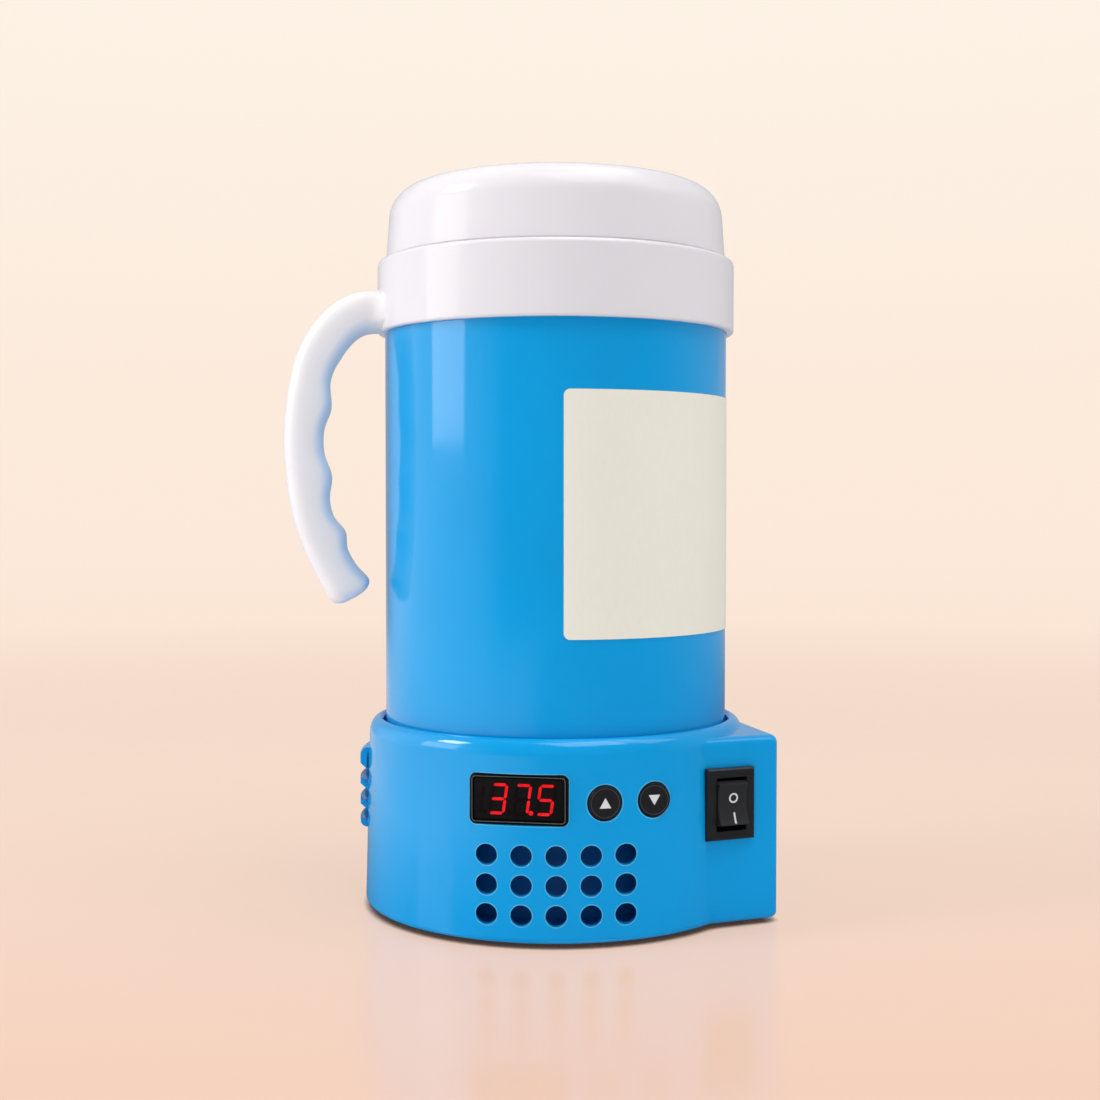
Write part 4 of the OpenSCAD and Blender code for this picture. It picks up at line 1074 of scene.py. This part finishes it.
@dataclass
class Handle(Assembly):
    """Open hook on the collar: flat sides, a soft inner edge and finger hollows, in millimetres."""

    skins = {"handle_screws": Skin.SCREW}
    azimuth: float = -80.0
    collar_radius: float = 55.3
    height: float = 182.9
    path: tuple[Pair, ...] = (
        (-2, 0), (6, -1), (13, -6), (18.6, -15), (21.4, -27), (22.4, -39),
        (21.6, -51), (19.8, -62), (16.6, -71), (12.6, -79), (8, -87.6),
    )
    grip_width: float = 19.0
    root_width: float = 27.0
    thickness: float = 12.8
    flare: float = 0.65
    flare_power: float = 1.4
    outer_square: float = 3.4
    inner_fold: float = 4.2
    hollow: float = 0.9
    hollow_pitch: float = 19.3
    hollow_first: float = 4.13
    hollow_start: float = 2.5
    hollow_crest: float = 0.2
    tip: float = 0.55
    tip_power: float = 2.4
    tip_least: float = 0.004
    tip_margin: float = 0.021
    sides: int = 40
    stations: int = 84
    tip_stations: int = 9
    step: float = 0.02

    def along(self, u: float) -> Vector:
        """Follows the smooth path.

        Args:
            u: Place on the path, counted in its points.

        Returns:
            The point there, x outward and y up.
        """
        last = len(self.path) - 1
        i = min(int(max(u, 0)), last - 1)
        t = u - i
        a, b, c, d = (Vector(self.path[min(max(i + k, 0), last)]) for k in (-1, 0, 1, 2))
        slope = (c - a) * t
        bend = (2 * a - 5 * b + 4 * c - d) * t ** 2
        twist = (3 * b - a - 3 * c + d) * t ** 3
        return 0.5 * (2 * b + slope + bend + twist)

    def closing(self, u: float) -> float:
        """Returns how much of the section is left near the blunt end."""
        t = (u - len(self.path) + 1) / self.tip + 1
        return 1.0 if t <= 0 else max(1 - t ** self.tip_power, self.tip_least) ** (1 / self.tip_power)

    def half_width(self, u: float) -> float:
        """Returns half the width at the place u, flared at the root."""
        flare = max(1 - u / self.flare, 0) ** self.flare_power
        return (self.grip_width + (self.root_width - self.grip_width) * flare) / 2 * self.closing(u)

    def wave(self, u: float) -> float:
        """Waves the inner side of the grip.

        Args:
            u: Place on the path.

        Returns:
            Height of the finger ridges there.
        """
        grow = min(max(u - self.hollow_start, 0), 1)
        length = sum((Vector(b) - Vector(a)).length for a, b in zip(self.path, self.path[1:]))
        turn = math.tau * (u - self.hollow_first) * length / (len(self.path) - 1) / self.hollow_pitch
        return self.hollow * grow * (math.cos(turn) + self.hollow_crest * math.cos(2 * turn))

    def section(self, u: float) -> list[Vector]:
        """Draws one section of the grip.

        Args:
            u: Place on the path.

        Returns:
            Points of the section.
        """
        centre = self.along(u)
        tangent = (self.along(u + self.step) - self.along(u - self.step)).normalized()
        normal = Vector((-tangent.y, tangent.x))
        inner = self.thickness / 2 - self.inner_fold + self.wave(u)
        points = []
        for k in range(self.sides):
            angle = math.tau * (k + 0.5) / self.sides
            outer = math.sin(angle) > 0
            power = 2 / self.outer_square if outer else 1
            x = self.half_width(u) * math.copysign(abs(math.cos(angle)) ** power, math.cos(angle))
            if outer:
                depth = self.thickness / 2 * math.sin(angle) ** power
            else:
                depth = self.inner_fold * math.sin(angle) - inner
            spot = centre + normal * depth * self.closing(u)
            points.append(Vector((x, -(self.collar_radius + spot.x), self.height + spot.y)))
        return points

    def places(self) -> list[float]:
        """Spreads the sections along the path, closer together at the blunt end.

        Returns:
            Their places.
        """
        body = len(self.path) - 1 - self.tip
        grip = [max(body * i / self.stations, self.step) for i in range(self.stations + 1)]
        turns = [math.pi / 2 * i / self.tip_stations for i in range(1, self.tip_stations + 1)]
        return grip + [body + (self.tip - self.tip_margin) * math.sin(turn) for turn in turns]

    def build_grip(self) -> None:
        """Lofts the grip from its root to its blunt end."""
        first, *others = (self.section(u) for u in self.places())
        bm = bmesh.new()
        ring = bmesh.ops.create_circle(bm, segments=self.sides, radius=1)["verts"]
        edges = edges_of(ring)
        for vert, spot in zip(ring, first):
            vert.co = spot
        bm.faces.new(ring)
        for section in others:
            old = set(ring)
            grown = bmesh.ops.extrude_edge_only(bm, edges=edges)["geom"]
            edges = [e for e in grown if isinstance(e, BMEdge) and not old.intersection(e.verts)]
            fresh = {}
            for vert in (v for v in grown if isinstance(v, BMVert)):
                partner = next(e.other_vert(vert) for e in vert.link_edges if e.other_vert(vert) in old)
                fresh[partner] = vert
            ring = [fresh[v] for v in ring]
            for vert, spot in zip(ring, section):
                vert.co = spot
        bm.faces.new(ring)
        bmesh.ops.transform(bm, matrix=Matrix.Scale(MM, 4), verts=bm.verts[:])
        turn = Matrix.Rotation(math.radians(self.azimuth), 3, "Z")
        bmesh.ops.rotate(bm, cent=(0, 0, 0), matrix=turn, verts=bm.verts[:])
        # the grip's lighter, warmer white is painted light
        grip = add_piece("handle_grip", bm, Skin.PAINTED_LIGHT_WHITE, Body.CUP)
        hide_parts("handle")

    def build(self) -> None:
        """Builds the grip and dresses its screws."""
        self.build_grip()
        super().build()


@dataclass
class Cup(Assembly):
    """Insulated cup with its collar, liner and label."""

    skins = {
        "cup_shell": Skin.BLUE, "contact_disc": Skin.PLATE, "cup_liner": Skin.STEEL,
        "foam_sleeve": Skin.FOAM, "collar": Skin.WHITE, "rim_seal": Skin.SEAL, "label_panel": Skin.LABEL,
    }


@dataclass
class Lid(Assembly):
    """Domed lid with its plug and gasket."""

    skins = {"lid_dome": Skin.WHITE, "lid_plug": Skin.WHITE, "lid_gasket": Skin.SEAL}


@dataclass(frozen=True)
class SoftBox:
    """Rectangular studio lamp that looks at a point above the table."""

    name: str
    azimuth: float
    elevation: float
    distance: float
    size: Pair
    radiance: float
    aim_height: float = 0.1

    def build(self) -> None:
        """Hangs the lamp."""
        lamp = bpy.data.lights.new(self.name, "AREA")
        lamp.shape = "RECTANGLE"
        lamp.size, lamp.size_y = self.size
        lamp.energy = self.radiance * math.pi * self.size[0] * self.size[1]
        turn, rise = math.radians(self.azimuth), math.radians(self.elevation)
        away = Vector((math.sin(turn) * math.cos(rise), -math.cos(turn) * math.cos(rise), math.sin(rise)))
        holder = bpy.data.objects.new(self.name, lamp)
        holder.location = Vector((0, 0, self.aim_height)) + away * self.distance
        holder.rotation_euler = away.to_track_quat("Z", "Y").to_euler()
        bpy.context.scene.collection.objects.link(holder)


@dataclass
class Studio:
    """Floor, sky, lamps and camera."""

    eye: Triple = (-0.00173, -0.4991, 0.1247)
    tilt: float = 88.28
    lens: float = 52.04
    sensor: float = 36.0
    nearest: float = 0.01
    ambient: float = 0.52
    ambient_tint: Colour = (0.985, 0.975, 1.0)
    sky_rise: Pair = (-0.36, 0.36)
    sky: tuple[tuple[float, Colour], ...] = (
        (0.0, (0.94, 0.66, 0.525)), (0.14, (0.94, 0.65, 0.515)), (0.25, (0.96, 0.738, 0.612)),
        (0.5, (0.975, 0.82, 0.702)), (0.92, (0.98, 0.885, 0.78)),
    )
    mirrored: Pair = (0.08, 0.48)
    mirrored_behind: Pair = (-0.6, 0.4)
    mirrored_left: float = 0.75
    mirrored_side: Pair = (-0.5, -0.92)
    mirrored_tint: Colour = (0.92, 0.95, 1.0)
    floor_radius: float = 3.0
    floor_sides: int = 96
    floor_near: Colour = (0.994, 0.676, 0.516)
    floor_far: Colour = (1.085, 0.85, 0.69)
    floor_nearest: float = 0.01
    floor_rows: Pair = (0.09, 0.366)
    floor_mirrored: tuple[Colour, Colour] = ((0.1, 0.105, 0.115), (0.89, 0.82, 0.785))
    floor_left: Pair = (-0.06, -0.22)
    # painted contact shadow on the floor: its colour, and the occlusion samples, reach and range that
    # spread it
    floor_shadow_colour: Colour = (0.06, 0.045, 0.042)
    shadow_samples: int = 8
    shadow_reach: float = 0.0033
    shadow_share: Pair = (0.42, 0.74)
    floor_bounce: Colour = (0.9, 0.865, 0.87)
    floor_smear: Pair = (30, 3)
    floor_gloss: Pair = (0.2, 0.24)
    floor_specular: float = 0.22
    floor_glow: float = 0.68
    floor_mirror: float = 0.14
    floor_polish: float = 0.17
    floor_fade: Pair = (0.3, 1.3)
    lamps: tuple[SoftBox, ...] = (
        SoftBox("key_left", -75, 38, 1.1, (0.3, 0.27), 14.2),
        SoftBox("strip_left", -74, 15, 1.1, (0.5, 0.42), 2.7),
        SoftBox("top_right", 120, 75, 1.0, (0.4, 0.4), 2.2),
        SoftBox("top_front", 30, 64, 1.0, (0.6, 0.6), 2.85),
        SoftBox("right_fill", 80, 52, 1.3, (0.5, 0.7), 1.5),
    )

    def build_sky(self) -> None:
        """Lights the object evenly and shows a pale warm sky behind it."""
        world = bpy.data.worlds.new("studio")
        bpy.context.scene.world = world
        world.use_nodes = True
        world.node_tree.nodes.clear()
        sky = Nodes(world.node_tree)
        coords = sky.add("ShaderNodeTexCoord").outputs["Generated"]
        axes = sky.add("ShaderNodeSeparateXYZ", {"Vector": coords}).outputs
        ramp = sky.add("ShaderNodeValToRGB", {"Fac": sky.span(axes["Z"], 0, 1, self.sky_rise)})
        ramp.color_ramp.interpolation = "EASE"
        while len(ramp.color_ramp.elements) < len(self.sky):
            ramp.color_ramp.elements.new(0.5)
        for stop, (spot, colour) in zip(ramp.color_ramp.elements, self.sky):
            stop.position, stop.color = spot, (*colour, 1)
        behind = sky.span(axes["Y"], *self.mirrored, self.mirrored_behind, smooth=True)
        left = sky.span(axes["X"], 0, self.mirrored_left, self.mirrored_side, smooth=True)
        rays = sky.add("ShaderNodeLightPath").outputs
        strength = sky.calculate("MAXIMUM", rays["Is Camera Ray"], sky.calculate("ADD", behind, left))
        shown = sky.tones(rays["Is Glossy Ray"], ramp.outputs["Color"], self.mirrored_tint)
        seen = sky.add("ShaderNodeBackground", {"Color": shown, "Strength": strength})
        even = sky.add("ShaderNodeBackground", {"Color": self.ambient_tint, "Strength": self.ambient})
        surface = sky.layer(sky.seen_rays(), even.outputs["Background"], seen.outputs["Background"])
        sky.add("ShaderNodeOutputWorld", {"Surface": surface})

    def floor_colour(self, g: Graph) -> Socket:
        """Colours the floor: paler towards the back, with a painted contact shadow where the object stands,
        plain in mirror images.

        Args:
            g: Nodes of the floor's material.

        Returns:
            The colour.
        """
        axes = g.add("ShaderNodeSeparateXYZ", {"Vector": g.coords}).outputs
        from_eye = g.calculate("SUBTRACT", axes["Y"], self.eye[1])
        row = g.calculate("DIVIDE", self.eye[2], g.calculate("MAXIMUM", from_eye, self.floor_nearest))
        warm = g.tones(g.span(row, 1, 0, self.floor_rows), self.floor_near, self.floor_far)
        # painted contact shadow: the floor darkens by ambient occlusion where the object stands
        reach = {"Distance": self.shadow_reach}
        occlusion = g.add("ShaderNodeAmbientOcclusion", reach, samples=self.shadow_samples).outputs["AO"]
        shadow_free = g.span(occlusion, 0, 1, self.shadow_share)
        plain = g.tones(shadow_free, self.floor_shadow_colour, warm)
        mirrored = g.tones(g.span(axes["X"], 0, 1, self.floor_left), *self.floor_mirrored)
        return g.tones(g.add("ShaderNodeLightPath").outputs["Is Glossy Ray"], plain, mirrored)

    def floor_material(self) -> Material:
        """Makes the floor's finish, which fades out away from the object.

        Returns:
            The material.
        """
        g = Graph("pale_floor")
        shown = self.floor_colour(g)
        g.set(
            Base_Color=shown,
            Roughness=g.span(g.noise(*self.floor_smear), *self.floor_gloss),
            Specular_IOR_Level=self.floor_specular,
        )
        glow = g.add("ShaderNodeEmission", {"Color": shown})
        polish = g.add("ShaderNodeBsdfAnisotropic", {"Roughness": self.floor_polish})
        bounce = g.add("ShaderNodeBsdfDiffuse", {"Color": self.floor_bounce})
        clear = g.add("ShaderNodeBsdfTransparent")
        away = g.add("ShaderNodeVectorMath", {0: g.coords}, operation="LENGTH")
        fade = g.span(away.outputs["Value"], 0, 1, self.floor_fade, smooth=True)
        lit = g.layer(self.floor_glow, g.shader.outputs["BSDF"], glow.outputs["Emission"])
        polished = g.layer(self.floor_mirror, lit, polish.outputs["BSDF"])
        ground = g.layer(g.seen_rays(), bounce.outputs["BSDF"], polished)
        surface = g.layer(fade, ground, clear.outputs["BSDF"])
        g.feed(surface, g.tree.nodes["Material Output"].inputs["Surface"])
        return g.material

    def build_floor(self) -> None:
        """Lays a pale floor that fades into the sky away from the object."""
        bm = bmesh.new()
        bmesh.ops.create_circle(bm, cap_ends=True, segments=self.floor_sides, radius=self.floor_radius)
        mesh = bpy.data.meshes.new("floor")
        bm.to_mesh(mesh)
        bm.free()
        mesh.materials.append(self.floor_material())
        floor = bpy.data.objects.new("floor", mesh)
        bpy.context.scene.collection.objects.link(floor)

    def build_camera(self) -> None:
        """Sets the camera at the photograph's viewpoint."""
        lens = bpy.data.cameras.new("camera")
        lens.sensor_width = self.sensor
        lens.lens = self.lens
        lens.clip_start = self.nearest
        camera = bpy.data.objects.new("camera", lens)
        camera.location = self.eye
        camera.rotation_euler = (math.radians(self.tilt), 0, 0)
        bpy.context.scene.collection.objects.link(camera)
        bpy.context.scene.camera = camera

    def build(self) -> None:
        """Builds the studio."""
        self.build_sky()
        self.build_floor()
        for lamp in self.lamps:
            lamp.build()
        self.build_camera()
        bpy.context.scene.view_settings.view_transform = "Standard"


def main() -> None:
    """Builds every sub-assembly."""
    logging.basicConfig(level=logging.INFO, format="%(message)s")
    groups = (Housing, Heater, Electronics, Display, Buttons, RockerSwitch, Handle, Cup, Lid)
    for assembly in (Studio(), *(group() for group in groups)):
        assembly.build()
        LOG.info("%s is done", type(assembly).__name__)
    bpy.context.view_layer.update()


if __name__ == "__main__":
    main()
